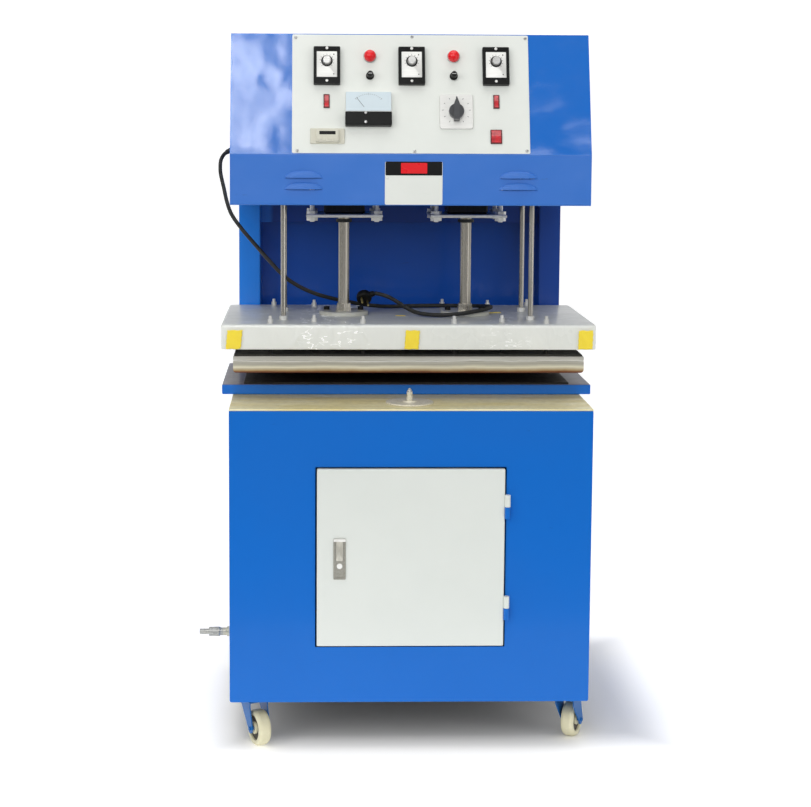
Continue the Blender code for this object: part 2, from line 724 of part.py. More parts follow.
def hood_shell():
    """An open-bottomed pan with rounded upright corners and a rounded top edge."""
    shape = bmesh.new()
    bmesh.ops.create_cube(shape, size=1.0)
    size = Vector((HOOD_W, HOOD_Y1 - HOOD_Y0, HOOD_TOP - HOOD_Z0))
    bmesh.ops.scale(shape, vec=size, verts=shape.verts)
    bmesh.ops.translate(shape, vec=(0, (HOOD_Y0 + HOOD_Y1) / 2, (HOOD_TOP + HOOD_Z0) / 2), verts=shape.verts)
    lower = [f for f in shape.faces if f.normal.z < -0.5]
    bmesh.ops.delete(shape, geom=lower, context="FACES")
    edges = [e for e in shape.edges if len(e.link_faces) == 2]
    bmesh.ops.bevel(shape, geom=edges, offset=HOOD_EDGE, segments=3, affect="EDGES", profile=0.5)
    return walled(mesh_of(shape), HOOD_T)


def stud_places():
    front = [(x, y) for x in FRONT_STUDS for y in STUD_Y]
    return front + [(x, y) for x in MID_STUDS for y in MID_Y]


def rounded_below(low, high):
    """A plate whose upright edges are eased and whose lower edges are rounded widely."""
    low, high = Vector(low), Vector(high)
    shape = bmesh.new()
    bmesh.ops.create_cube(shape, size=1.0)
    bmesh.ops.scale(shape, vec=high - low, verts=shape.verts)
    bmesh.ops.translate(shape, vec=(low + high) / 2, verts=shape.verts)
    lower = [e for e in shape.edges if all(v.co.z < (low.z + high.z) / 2 for v in e.verts)]
    bmesh.ops.bevel(shape, geom=lower, offset=LOWER_EDGE, segments=4, affect="EDGES", profile=0.5)
    return mesh_of(shape)


def build_platen(platen):
    half = PLATEN_W / 2
    z = LOWER_Z
    node("heater_lower", "aluminium", platen,
         rounded_below((-half, PLATEN_Y0, z), (half, PLATEN_Y1, z + LOWER_H)))
    z += LOWER_H + GAP
    node("heater_upper", "aluminium", platen,
         block((-half, PLATEN_Y0, z), (half, PLATEN_Y1, z + UPPER_H), bevel=CLAMP_EDGE))
    z += UPPER_H + GAP
    inset = BOARD_INSET
    board = block((-half + inset, PLATEN_Y0 + inset, z), (half - inset, PLATEN_Y1 - inset, z + BOARD_H))
    under = HOOD_TOP - HOOD_T - GAP
    spacers = [rod((x, y, z + BOARD_H / 2), (0, 0, 1), under - z - BOARD_H / 2, PSTUD_R, SEGS_SMALL)
               for x, y in stud_places()]
    node("insulation_board", "insulation", platen, join(board, *spacers))
    node("hood", "white_paint", platen, hood_shell())
    for side, x in (("left", -CYL_X), ("right", CYL_X)):
        build_piston_rod(platen, side, x)
    for name, x, y in guide_places():
        node(f"{name}_guide_rod", "zinc", platen,
             rod((x, y, HOOD_TOP + GAP), (0, 0, 1), GUIDE_TOP - HOOD_TOP, GUIDE_R))


def guide_places():
    return [(f"{end}_{side}", x, y) for end, y in zip(("front", "rear"), GUIDE_Y)
            for side, x in (("left", -GUIDE_X), ("right", GUIDE_X))]


def build_piston_rod(platen, side, x):
    """A piston rod screwed into its disc on the hood, with two nuts."""
    base = HOOD_TOP + GAP
    top = CLAMP_Z + CLAMP_T + GAP + ROD_IN_CYL - base
    disc = turned((x, CYL_Y, base), (0, 0, 1),
                  [(0, top), (ROD_R, top), (ROD_R, DISC_H), (DISC_R - DISC_EDGE, DISC_H),
                   (DISC_R, DISC_H - DISC_EDGE), (DISC_R, 0), (0, 0)], SEGS_LARGE)
    lower = nut((x, CYL_Y, base + DISC_H / 2), (0, 0, 1), RODNUT_H + DISC_H / 2, RODNUT_AF)
    upper = nut((x, CYL_Y, base + DISC_H + RODNUT_H / 2), (0, 0, 1), 1.5 * RODNUT_H,
                RODNUT_AF * UPPER_NUT_SHARE)
    node(f"{side}_piston_rod", "chrome", platen, join(disc, lower, upper))


def build_door(root, door):
    half = DOOR_OPEN_W / 2 - DOOR_CLEAR
    z0 = DOOR_OPEN_Z0 + DOOR_CLEAR
    z1 = DOOR_OPEN_Z1 - DOOR_CLEAR
    y0 = -HINGE_R - GAP
    pan = door_pan(half, y0, z0, z1)
    x = hinge_x()
    barrels = [rod((x, y0, z + GAP), (0, 0, 1), KNUCKLE_L, HINGE_R) for z in HINGE_Z]
    bores = [rod((x, y0, z - KNUCKLE_L), (0, 0, 1), 3 * KNUCKLE_L, HINGE_BORE_R, SEGS_SMALL) for z in HINGE_Z]
    long = KNUCKLE_L + GAP
    notches = [rod((x, y0, z - long), (0, 0, 1), long, HINGE_R + HINGE_SLIT) for z in HINGE_Z]
    node("door", "white_paint", door, cut(join(cut(pan, *notches), *barrels), *bores))
    node("door_lock", "zinc", door, lock_body(y0 - GAP))
    for name, z in zip(("lower_hinge", "upper_hinge"), HINGE_Z):
        node(name, "blue_paint", root,
             turned((x, y0, z - KNUCKLE_L), (0, 0, 1),
                    [(0, KNUCKLE_L * 1.9), (HINGE_PIN_R, KNUCKLE_L * 1.9), (HINGE_PIN_R, KNUCKLE_L),
                     (HINGE_R, KNUCKLE_L), (HINGE_R, 0), (0, 0)]))


def lock_body(back):
    """The lock's plate: a recess with a sprung lever in it and a round push button."""
    face = back - LOCK_T
    w, h = LOCK_W / 2, LOCK_H / 2
    plate = block((LOCK_X - w, face, LOCK_Z - h), (LOCK_X + w, back, LOCK_Z + h), bevel=EDGE)
    recess = block((LOCK_X - w + LOCK_RIM, face - LOCK_T, LOCK_Z - h + LOCK_RIM),
                   (LOCK_X + w - LOCK_RIM, face + LOCK_RECESS, LOCK_Z + h - LOCK_RIM))
    lever_x, lever_z = LOCK_LEVER_W / 2, LOCK_LEVER_H / 2
    lever = block((LOCK_X - lever_x, face, LOCK_Z + LOCK_LEVER_Z - lever_z),
                  (LOCK_X + lever_x, back - LOCK_RECESS / 3, LOCK_Z + LOCK_LEVER_Z + lever_z))
    button = rod((LOCK_X, back - LOCK_RECESS / 3, LOCK_Z + LOCK_BUTTON_Z), (0, -1, 0),
                 LOCK_T - LOCK_RECESS / 3, LOCK_BUTTON_R)
    return join(cut(plate, recess), lever, button)


def door_pan(half, y0, z0, z1):
    """The door's sheet with its edges folded back all round."""
    shape = bmesh.new()
    bmesh.ops.create_cube(shape, size=1.0)
    bmesh.ops.scale(shape, vec=(2 * half, DOOR_RIM, z1 - z0), verts=shape.verts)
    bmesh.ops.translate(shape, vec=(0, y0 + DOOR_RIM / 2, (z0 + z1) / 2), verts=shape.verts)
    back = [f for f in shape.faces if f.normal.y > 0.5]
    bmesh.ops.delete(shape, geom=back, context="FACES")
    edges = [e for e in shape.edges if len(e.link_faces) == 2]
    bmesh.ops.bevel(shape, geom=edges, offset=DOOR_EDGE, segments=2, affect="EDGES", profile=0.5)
    return walled(mesh_of(shape), DOOR_SHEET)


def walled(mesh, thickness):
    """An open surface given its wall, inwards."""
    obj = bpy.data.objects.new("shell", mesh)
    bpy.context.scene.collection.objects.link(obj)
    wall = obj.modifiers.new("wall", "SOLIDIFY")
    wall.thickness = thickness
    wall.offset = -1
    wall.use_even_offset = True
    return baked(obj)


def hinge_x():
    return DOOR_OPEN_W / 2 - DOOR_CLEAR + HINGE_R - WELD


def build_caster(name, swivel, wheel, turn):
    """One swivel caster: plate on the cabinet, forked swivel, and its wheel."""
    x, y, _ = swivel["place"]
    frame = Matrix.Translation((x, y, 0)) @ Matrix.Rotation(math.radians(turn), 4, "Z")
    race_top = CAB_Z0 - PLATE_T - GAP
    race = turned((x, y, FORK_TOP - 0.001), (0, 0, 1),
                  [(0, race_top - FORK_TOP + 0.001), (RACE_R * 0.9, race_top - FORK_TOP + 0.001),
                   (RACE_R, (race_top - FORK_TOP) / 2), (RACE_R, 0), (0, 0)])
    out = FORK_GAP / 2 + FORK_T
    low = WHEEL_R - LEG_BELOW
    section = [(-out, low), (-out, FORK_TOP), (out, FORK_TOP), (out, low),
               (out - FORK_T, low), (out - FORK_T, FORK_TOP - FORK_T), (-out + FORK_T, FORK_TOP - FORK_T),
               (-out + FORK_T, low)]
    folded = prism(section, 4 * WHEEL_R, across(-2 * WHEEL_R, 2 * WHEEL_R))
    folded.transform(frame)
    eye = [(TRAIL + EYE_R * math.cos(a), WHEEL_R + EYE_R * math.sin(a))
           for a in [math.radians(-170 + 20 * i) for i in range(10)]]
    brow = FORK_TOP - FORK_BROW
    above = FORK_TOP + FORK_BROW
    outline = [(-FORK_BACK, above), (-FORK_BACK, brow)] + eye + [(FORK_FRONT, brow), (FORK_FRONT, above)]
    profile = prism(outline, 4 * FORK_GAP, facing(0, 0))
    profile.transform(frame)
    fork = join(common(folded, profile), race)
    roll = frame.to_3x3() @ Vector((0, 1, 0))
    centre = frame @ Vector((TRAIL, 0, WHEEL_R))
    axle = rod(centre - roll * (out + AXLE_HEAD), roll, 2 * (out + AXLE_HEAD), AXLE_R, SEGS_SMALL)
    fork = join(fork, axle)
    h = WHEEL_T / 2
    bore = AXLE_R + AXLE_CLEAR
    tyre = turned(centre, roll,
                  [(WHEEL_R - TREAD_EDGE, h), (WHEEL_R, h - TREAD_EDGE), (WHEEL_R, -h + TREAD_EDGE),
                   (WHEEL_R - TREAD_EDGE, -h), (WHEEL_R - HUB_R, -h + TREAD_EDGE / 2),
                   (HUB_R * 1.1, -h + TREAD_EDGE * 0.75), (HUB_R, -h), (bore, -h),
                   (bore, h), (HUB_R, h), (HUB_R * 1.1, h - TREAD_EDGE * 0.75),
                   (WHEEL_R - HUB_R, h - TREAD_EDGE / 2)], SEGS_LARGE)
    node(f"{name}_fork", "blue_paint", swivel, fork)
    node(f"{name}_wheel", "cream_wheel", wheel, tyre)


def caster_places():
    half = CAB_W / 2
    return {f"{end}_{side}": (x, y) for end, y in (("front", CASTER_IN), ("rear", CAB_D - CASTER_IN))
            for side, x in (("left", CASTER_SIDE["left"] - half), ("right", half - CASTER_SIDE["right"]))}


def caster_plates():
    """The plates by which the casters are bolted under the floor."""
    half = CASTER_PLATE / 2
    return [block((x - half, y - half, CAB_Z0 - PLATE_T), (x + half, y + half, CAB_Z0 + SHEET / 2))
            for x, y in caster_places().values()]


def build_casters(root):
    for name, (x, y) in caster_places().items():
        turn = CASTER_TURN[name]
        swivel = pivot(f"{name}_swivel_axis", (x, y, FORK_TOP), root)
        a = math.radians(turn)
        centre = (x + TRAIL * math.cos(a), y + TRAIL * math.sin(a), WHEEL_R)
        wheel = pivot(f"{name}_wheel_axis", centre, swivel)
        build_caster(name, swivel, wheel, turn)


def panel_turned(x, v, profile, sides=SEGS):
    return turned(panel_point(x, v, IN_PLATE), tuple(SLOPE_OUT), profile, sides)


def fixed_controls():
    """What stands on the panel and doesn't turn: timers, lamps, fuse caps, rockers, selector plate."""
    low = IN_PLATE
    face = PANEL_FACE
    sink = PANEL_FACE - IN_PLATE
    pieces = [panel_block(x, TIMER_V, TIMER_W, TIMER_H, low, face + TIMER_T, bevel=0.0008) for x in TIMERS]
    for x in LAMP_X:
        h = LAMP_H + sink
        pieces.append(panel_turned(x, LAMP_V, [
            (0, h), (LAMP_R * 0.55, h * 0.93), (LAMP_R * 0.78, h * 0.68), (LAMP_R * 0.82, sink + 0.004),
            (LAMP_R, sink + 0.003), (LAMP_R, 0), (0, 0)]))
        h = FUSE_H + sink
        pieces.append(panel_turned(x, FUSE_V, [
            (0, h), (FUSE_R * 0.68, h), (FUSE_R * 0.72, sink + 0.005), (FUSE_R, sink + 0.004),
            (FUSE_R, 0), (0, 0)],
            SEGS_SMALL))
    for x in ROCKER_X:
        pieces.append(panel_block(x, ROCKER_V, ROCKER_W, ROCKER_H, low, face + ROCKER_T))
    pieces.append(panel_block(POWER_X, POWER_V, POWER_W, POWER_H, low, face + POWER_T))
    pieces.append(panel_block(SEL_X, SEL_V, SEL_W, SEL_H, low, face + SEL_T))
    return pieces


def build_panel(root):
    top = SLOPE.length - PLATE_BELOW_TOP
    plate = panel_block(0, (PLATE_V0 + top) / 2, PLATE_W, top - PLATE_V0, GAP, PANEL_FACE)
    node("control_panel", "panel_plate", root, join(plate, *fixed_controls()))
    out = tuple(SLOPE_OUT)
    for index, x in enumerate(TIMERS):
        name = ("left", "middle", "right")[index]
        base = PANEL_FACE + TIMER_T + GAP
        axis = pivot(f"{name}_dial_axis", panel_point(x, DIAL_V, base), root)
        dial = turned(panel_point(x, DIAL_V, base), out,
                      [(0, DIAL_H), (DIAL_R * 0.82, DIAL_H), (DIAL_R * 0.9, DIAL_H - 0.001),
                       (DIAL_R, 0.0012), (DIAL_R, 0), (0, 0)])
        node(f"{name}_dial", "aluminium", axis, dial)
    node("meter", "black_plastic", root,
         panel_block(METER_X, METER_V, METER_W, METER_H, ON_PLATE, ON_PLATE + METER_T, bevel=METER_EDGE))
    node("counter", "beige_plastic", root,
         panel_block(COUNTER_X, COUNTER_V, COUNTER_W, COUNTER_H, ON_PLATE, ON_PLATE + COUNTER_T,
                     bevel=COUNTER_EDGE))
    base = PANEL_FACE + SEL_T + GAP
    axis = pivot("selector_axis", panel_point(SEL_X, KNOB_V, base), root)
    disc = turned(panel_point(SEL_X, KNOB_V, base), out,
                  [(0, 0.008), (KNOB_R, 0.008), (KNOB_R, 0), (0, 0)])
    bar = on_panel(prism([(SEL_X - 0.006, KNOB_V - KNOB_TAIL), (SEL_X + 0.006, KNOB_V - KNOB_TAIL),
                          (SEL_X + 0.007, KNOB_V + 0.010), (SEL_X, KNOB_V + KNOB_TIP),
                          (SEL_X - 0.007, KNOB_V + 0.010)],
                         KNOB_H, Matrix.Translation((0, 0, base + KNOB_H / 2 + 0.0005))))
    node("selector_knob", "black_plastic", axis, join(disc, bar))


def build_services(root, platen):
    x = -CAB_W / 2 - GAP
    node("air_inlet", "brass", root,
         turned((x, INLET_Y, INLET_Z), (-1, 0, 0),
                [(0, INLET_L), (0.0060, INLET_L), (0.0062, INLET_L - 0.020), (0.0100, INLET_L - 0.021),
                 (0.0105, INLET_L - 0.044), (0.0085, INLET_L - 0.046), (0.0085, 0.016), (0.0110, 0.014),
                 (0.0110, 0), (0, 0)]))
    node("cord_gland", "black_plastic", root,
         turned((x, GLAND_Y, GLAND_Z), (-1, 0, 0),
                [(0, GLAND_L), (CORD_R * 1.2, GLAND_L), (GLAND_R * 0.7, GLAND_L * 0.9),
                 (GLAND_R * 0.8, GLAND_L * 0.5), (GLAND_R, GLAND_L * 0.4), (GLAND_R, 0), (0, 0)]))
    meet = Vector(LYING[0])
    run = (Vector(LYING[1]) - Vector(HANGING[-2])).normalized()
    way = Vector(CORD_INTO).normalized()
    last = Vector(LYING[-1])
    hanging = [*HANGING[:-1], meet - run * CORD_END, meet - run * GAP / 2]
    lying = [meet + run * GAP / 2, meet + run * CORD_END, *LYING[1:-1], last - way * CORD_END, last]
    node("cord_hanging", "black_rubber", root, pipe(hanging, CORD_R, CORD_STEP))
    node("cord_lying", "black_rubber", platen, pipe(lying, CORD_R, CORD_STEP))
    node("plug", "black_plastic", platen, plug_body(last + way * GAP, way))


def plug_body(start, way):
    """A round plug that the cord enters from its side, with two pins out of its face."""
    out = Vector(PIN_WAY).normalized()
    centre = start + way * (RELIEF_L + 0.9 * PLUG_R)
    half = PLUG_T / 2
    body = turned(centre - out * half, out,
                  [(0, PLUG_T), (PLUG_R * 0.86, PLUG_T), (PLUG_R, PLUG_T * 0.8), (PLUG_R, PLUG_T * 0.2),
                   (PLUG_R * 0.86, 0), (0, 0)])
    relief = rod(start, way, RELIEF_L + PLUG_R / 2, CORD_R * 1.1, SEGS_SMALL, CORD_R * 1.7)
    spread = (way.cross(out) + 0.7 * way).normalized() * PLUG_PIN_X
    pins = [rod(centre + side * spread + out * half / 2, out, half / 2 + PLUG_PIN_L, PLUG_PIN_R, SEGS_SMALL)
            for side in (-1, 1)]
    return join(body, relief, *pins)


def reach():
    """The box of everything but the cord: how far it stands out each way."""
    left = CAB_W / 2 + GAP + INLET_L
    right = TRAY_W / 2
    front = HINGE_R * 2 + GAP
    return (right - left) / 2, (CAB_D - front) / 2


clear_scene()
PARTS = make_collection("blister_packing_machine")
CUTTERS = make_collection("cutters")
MIDDLE_X, MIDDLE_Y = reach()
ROOT = pivot("machine", (0, 0, 0), None)
DOOR = pivot("door_axis", (hinge_x(), -HINGE_R - GAP, HINGE_Z[0]), ROOT)
PLATEN = pivot("platen_lift", (0, CYL_Y, LOWER_Z), ROOT)
build_cabinet(ROOT)
build_bed(ROOT)
build_column(ROOT)
build_head(ROOT)
build_drive(ROOT)
build_platen(PLATEN)
build_door(ROOT, DOOR)
build_casters(ROOT)
build_panel(ROOT)
build_services(ROOT, PLATEN)
ROOT.location = (-MIDDLE_X, -MIDDLE_Y, 0)
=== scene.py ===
import math

import bpy
import numpy as np
from mathutils import Matrix, Vector


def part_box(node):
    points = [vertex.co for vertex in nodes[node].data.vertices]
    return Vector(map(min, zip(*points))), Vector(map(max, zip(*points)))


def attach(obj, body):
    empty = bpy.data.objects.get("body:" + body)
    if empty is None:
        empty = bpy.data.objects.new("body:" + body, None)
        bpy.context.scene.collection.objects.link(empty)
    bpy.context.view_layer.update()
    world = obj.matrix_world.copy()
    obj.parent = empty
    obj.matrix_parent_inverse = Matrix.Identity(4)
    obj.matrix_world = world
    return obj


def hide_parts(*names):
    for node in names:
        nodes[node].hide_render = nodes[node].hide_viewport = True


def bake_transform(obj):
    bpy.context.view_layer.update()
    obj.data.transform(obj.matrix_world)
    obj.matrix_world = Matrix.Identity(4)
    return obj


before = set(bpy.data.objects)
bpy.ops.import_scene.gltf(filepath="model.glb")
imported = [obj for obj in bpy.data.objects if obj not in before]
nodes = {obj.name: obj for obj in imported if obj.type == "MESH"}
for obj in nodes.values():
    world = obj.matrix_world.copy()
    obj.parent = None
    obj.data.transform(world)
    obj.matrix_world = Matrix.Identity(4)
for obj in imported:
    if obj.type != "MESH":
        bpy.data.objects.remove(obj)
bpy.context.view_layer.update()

# the drawing's zero is the cabinet's front face, on its centre line and on the floor
backLow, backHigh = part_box("cabinet_back")
zero = np.array([(backLow.x + backHigh.x) / 2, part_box("cabinet_front_top")[0].y, 0.0])


# camera
def makeCamera():
    view = {"lens": 77.918, "shiftX": 0.06, "shiftY": -0.12, "place": (-0.18004, -3.94685, 1.33442),
            "turn": 1.4427, "down": 6.085, "roll": 0.2446}
    data = bpy.data.cameras.new("camera")
    data.lens, data.sensor_width = view["lens"], 36
    data.shift_x, data.shift_y = view["shiftX"], view["shiftY"]
    data.clip_start, data.clip_end = 0.1, 60
    data.dof.use_dof = False
    camera = bpy.data.objects.new("camera", data)
    bpy.context.scene.collection.objects.link(camera)
    camera.matrix_world = (
        Matrix.Translation(view["place"])
        @ Matrix.Rotation(math.radians(-view["turn"]), 4, "Z")
        @ Matrix.Rotation(math.radians(90 - view["down"]), 4, "X")
        @ Matrix.Rotation(math.radians(view["roll"]), 4, "Z"))
    bpy.context.scene.camera = camera


# shapes
def gridFaces(rows, cols, closed=True):
    # a quad between each pair of neighbouring rows and columns: r*cols+c, the next column, then the row above
    r = np.arange(rows - 1)[:, None]
    c = np.arange(cols if closed else cols - 1)[None]
    n = (c + 1) % cols
    return np.stack([r * cols + c, r * cols + n, (r + 1) * cols + n, (r + 1) * cols + c], -1).reshape(-1, 4)


def cappedFaces(rows, cols):
    # the grid's quads, then one face over the first row and one over the last
    ends = [list(range(cols))[::-1], list(range((rows - 1) * cols, rows * cols))]
    return gridFaces(rows, cols).tolist() + ends


def stacked(outlines, heights):
    # closed outlines (rows, points, 2) lifted to their heights, walled between rows and capped at both ends
    outlines = np.asarray(outlines, float)
    rows, cols = outlines.shape[:2]
    lift = np.broadcast_to(np.asarray(heights, float)[:, None, None], (rows, cols, 1))
    return np.concatenate([outlines, lift], 2).reshape(-1, 3), cappedFaces(rows, cols)


def ringFaces(rows, cols):
    # as gridFaces, with the last row joined to the first
    r, c = np.meshgrid(np.arange(rows), np.arange(cols), indexing="ij")
    up, on = (r + 1) % rows, (c + 1) % cols
    return np.stack([r * cols + c, r * cols + on, up * cols + on, up * cols + c], -1).reshape(-1, 4)


def circle(count, phase=0.0):
    # cosine and sine of count even steps round a full turn
    a = np.arange(count) * 2 * math.pi / count + phase
    return np.stack([np.cos(a), np.sin(a)], 1)


def turned(profile, count=32):
    # (radius, height) pairs spun about Z: every outline is the unit circle times the radius
    profile = np.asarray(profile, float)
    return stacked(circle(count)[None] * profile[:, 0][:, None, None], profile[:, 1])


def spunRing(profile, count=40):
    # a closed profile of (radius, height) pairs, none on the axis, spun about Z
    profile = np.asarray(profile, float)
    around = circle(count)[None] * profile[:, 0][:, None, None]
    lift = np.broadcast_to(profile[:, 1][:, None, None], (len(profile), count, 1))
    return np.concatenate([around, lift], 2).reshape(-1, 3), ringFaces(len(profile), count)


def plateOutline(width, height, corner, steps=5):
    # a rectangle whose corners are quarter circles: corner centre plus corner radius times (cos, sin)
    a = np.linspace(0, math.pi / 2, steps)
    turn = a[None] + np.arange(4)[:, None] * math.pi / 2
    signs = np.array([(1, 1), (-1, 1), (-1, -1), (1, -1)], float)
    centres = signs * (np.array([width, height]) / 2 - corner)
    return (centres[:, None] + corner * np.stack([np.cos(turn), np.sin(turn)], -1)).reshape(-1, 2)


def slab(width, height, corner, profile, steps=5):
    # the plate's outline drawn in by each (inset, height) of the profile
    outlines = [plateOutline(width - 2 * i, height - 2 * i, max(corner - i, 0.0001), steps) for i,
                _ in profile]
    return stacked(outlines, [h for _, h in profile])


def hexNut(flats, high, chamfer=0.0008):
    # six corners at flats / (2 cos 30), drawn in at both ends by the chamfer
    ring = circle(6) * flats / (2 * math.cos(math.pi / 6))
    small = ring * (1 - 2 * chamfer / flats)
    return stacked([small, ring, ring, small], [0, chamfer * 0.5, high - chamfer * 0.5, high])


def moved(shape, origin, xAxis=(1, 0, 0), yAxis=(0, 1, 0), zAxis=(0, 0, 1)):
    # origin + x times the X axis + y times the Y axis + z times the Z axis
    points, faces = shape
    return points @ np.array([xAxis, yAxis, zAxis], float) + np.asarray(origin, float), faces


def joined(shapes):
    # the shapes' points one after another, each shape's face numbers raised by the points before it
    points, faces, start = [], [], 0
    for p, f in shapes:
        points.append(p)
        faces.extend([[i + start for i in q] for q in (f.tolist() if hasattr(f, "tolist") else f)])
        start += len(p)
    return np.concatenate(points), faces


def curveThrough(points, spacing):
    # Catmull-Rom: each stretch blends its two ends with half the chord between the neighbours as tangents
    p = np.asarray(points, float)
    p = np.concatenate([[2 * p[0] - p[1]], p, [2 * p[-1] - p[-2]]])
    lengths = np.linalg.norm(p[2:-1] - p[1:-2], axis=1)
    counts = np.maximum(1, np.ceil(lengths / spacing)).astype(int)
    stretch = np.repeat(np.arange(len(counts)), counts)
    first = np.cumsum(counts) - counts
    t = ((np.arange(counts.sum()) - first[stretch]) / counts[stretch])[:, None]
    a, b, c, d = p[stretch], p[stretch + 1], p[stretch + 2], p[stretch + 3]
    line = 0.5 * (2 * b + (c - a) * t + (2 * a - 5 * b + 4 * c - d) * t ** 2
                  + (3 * b - a - 3 * c + d) * t ** 3)
    return np.concatenate([line, p[-2:-1]])


def tube(line, radii, count=20):
    # circles square to the line's tangent, their first axis square to the direction the line runs in least
    line = np.asarray(line, float)
    tangent = np.gradient(line, axis=0)
    tangent /= np.linalg.norm(tangent, axis=1, keepdims=True)
    least = np.linalg.svd(tangent)[2][2]
    side = np.cross(tangent, least)
    side /= np.linalg.norm(side, axis=1, keepdims=True)
    other = np.cross(tangent, side)
    ring = circle(count)
    radii = np.broadcast_to(np.asarray(radii, float), (len(line),))[:, None, None]
    points = line[:, None] + radii * (ring[None, :, :1] * side[:, None] + ring[None, :, 1:] * other[:, None])
    return points.reshape(-1, 3), cappedFaces(len(line), count)


def addPiece(name, shape, material, body, replaces=(), smooth=35, ride=True):
    points, faces = shape
    mesh = bpy.data.meshes.new(name)
    mesh.from_pydata(points.tolist(), [], faces if isinstance(faces, list) else faces.tolist())
    mesh.validate()
    mesh.materials.append(finish[material])
    mesh.polygons.foreach_set("use_smooth", [True] * len(mesh.polygons))
    mesh.update()
    mesh.set_sharp_from_angle(angle=math.radians(smooth))
    piece = bpy.data.objects.new(name, mesh)
    bpy.context.scene.collection.objects.link(piece)
    if ride:
        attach(piece, body)
    if replaces:
        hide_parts(*replaces)
    return piece


# shader groups
def socketKind(label):
    # the kind of socket follows from its name
    if "Colour" in label:
        return "NodeSocketColor"
    return "NodeSocketVector" if label in ("Vector", "Stretch") else "NodeSocketFloat"


def newGroup(name, inputs, outputs):
    group = bpy.data.node_groups.new(name, "ShaderNodeTree")
    for label, value in inputs.items():
        socket = group.interface.new_socket(name=label, in_out="INPUT", socket_type=socketKind(label))
        if value is not None:
            socket.default_value = value
    for label in outputs:
        group.interface.new_socket(name=label, in_out="OUTPUT", socket_type=socketKind(label))
    return group, group.nodes.new("NodeGroupInput"), group.nodes.new("NodeGroupOutput")


def giveOut(group, out, **values):
    for label, value in values.items():
        group.links.new(value, out.inputs[label])
    return group


def feed(tree, socket, value):
    # a socket's value comes by a link, a plain one is set
    if hasattr(value, "is_linked"):
        tree.links.new(value, socket)
    else:
        socket.default_value = value


def addNode(tree, kind, **values):
    node = tree.nodes.new(kind)
    for key, value in values.items():
        setattr(node, key, value)
    return node


def noiseNode(tree, vector, scale, detail=3.0, rough=0.5):
    node = addNode(tree, "ShaderNodeTexNoise")
    tree.links.new(vector, node.inputs["Vector"])
    for label, value in (("Scale", scale), ("Detail", detail), ("Roughness", rough)):
        feed(tree, node.inputs[label], value)
    return node.outputs["Fac"]


def mathNode(tree, operation, a, b=None, c=None):
    node = addNode(tree, "ShaderNodeMath", operation=operation)
    for index, value in enumerate((a, b, c)):
        if value is not None:
            feed(tree, node.inputs[index], value)
    return node.outputs[0]


def rampBetween(tree, value, low, high):
    node = addNode(tree, "ShaderNodeMapRange")
    node.interpolation_type = "SMOOTHSTEP"
    tree.links.new(value, node.inputs["Value"])
    for label, limit in (("From Min", low), ("From Max", high)):
        feed(tree, node.inputs[label], limit)
    return node.outputs["Result"]


def mixColour(tree, factor, a, b):
    node = addNode(tree, "ShaderNodeMix", data_type="RGBA")
    for index, value in ((0, factor), (6, a), (7, b)):
        feed(tree, node.inputs[index], value)
    return node.outputs[2]


def axesOf(tree, vector):
    # a vector's X, Y and Z outputs
    apart = addNode(tree, "ShaderNodeSeparateXYZ")
    tree.links.new(vector, apart.inputs[0])
    return apart.outputs


def buildPatches():
    # two colours mixed by a broad noise, and a roughness that follows the same patches
    group, into, out = newGroup("colourPatches", {
        "Vector": None, "Scale": 4.0, "First Colour": None, "Second Colour": None, "Amount": 0.5,
        "Smooth Roughness": 0.3, "Rough Roughness": 0.5}, ("Colour", "Roughness"))
    noise = noiseNode(group, into.outputs["Vector"], into.outputs["Scale"], 4.0, 0.6)
    mask = rampBetween(group, noise, 0.32, 0.68)
    weighed = mathNode(group, "MULTIPLY", mask, into.outputs["Amount"])
    colour = mixColour(group, weighed, into.outputs["First Colour"], into.outputs["Second Colour"])
    spread = mathNode(group, "SUBTRACT", into.outputs["Rough Roughness"], into.outputs["Smooth Roughness"])
    rough = mathNode(group, "MULTIPLY_ADD", mask, spread, into.outputs["Smooth Roughness"])
    return giveOut(group, out, Colour=colour, Roughness=rough)


def buildDust():
    # dust lies where the surface faces up and a fine noise lets it: amount times up-facing share times noise
    group, into, out = newGroup("restingDust", {
        "Vector": None, "Colour": None, "Dust Colour": None, "Amount": 0.3, "Roughness": 0.3, "Scale": 30.0},
        ("Colour", "Roughness"))
    normal = addNode(group, "ShaderNodeNewGeometry").outputs["Normal"]
    facing = rampBetween(group, axesOf(group, normal)["Z"], 0.1, 0.95)
    noise = noiseNode(group, into.outputs["Vector"], into.outputs["Scale"], 5.0, 0.65)
    grain = rampBetween(group, noise, 0.35, 0.7)
    share = mathNode(group, "MULTIPLY", mathNode(group, "MULTIPLY", facing, grain), into.outputs["Amount"])
    colour = mixColour(group, share, into.outputs["Colour"], into.outputs["Dust Colour"])
    rough = mathNode(group, "MULTIPLY_ADD", share, 0.5, into.outputs["Roughness"])
    return giveOut(group, out, Colour=colour, Roughness=rough)


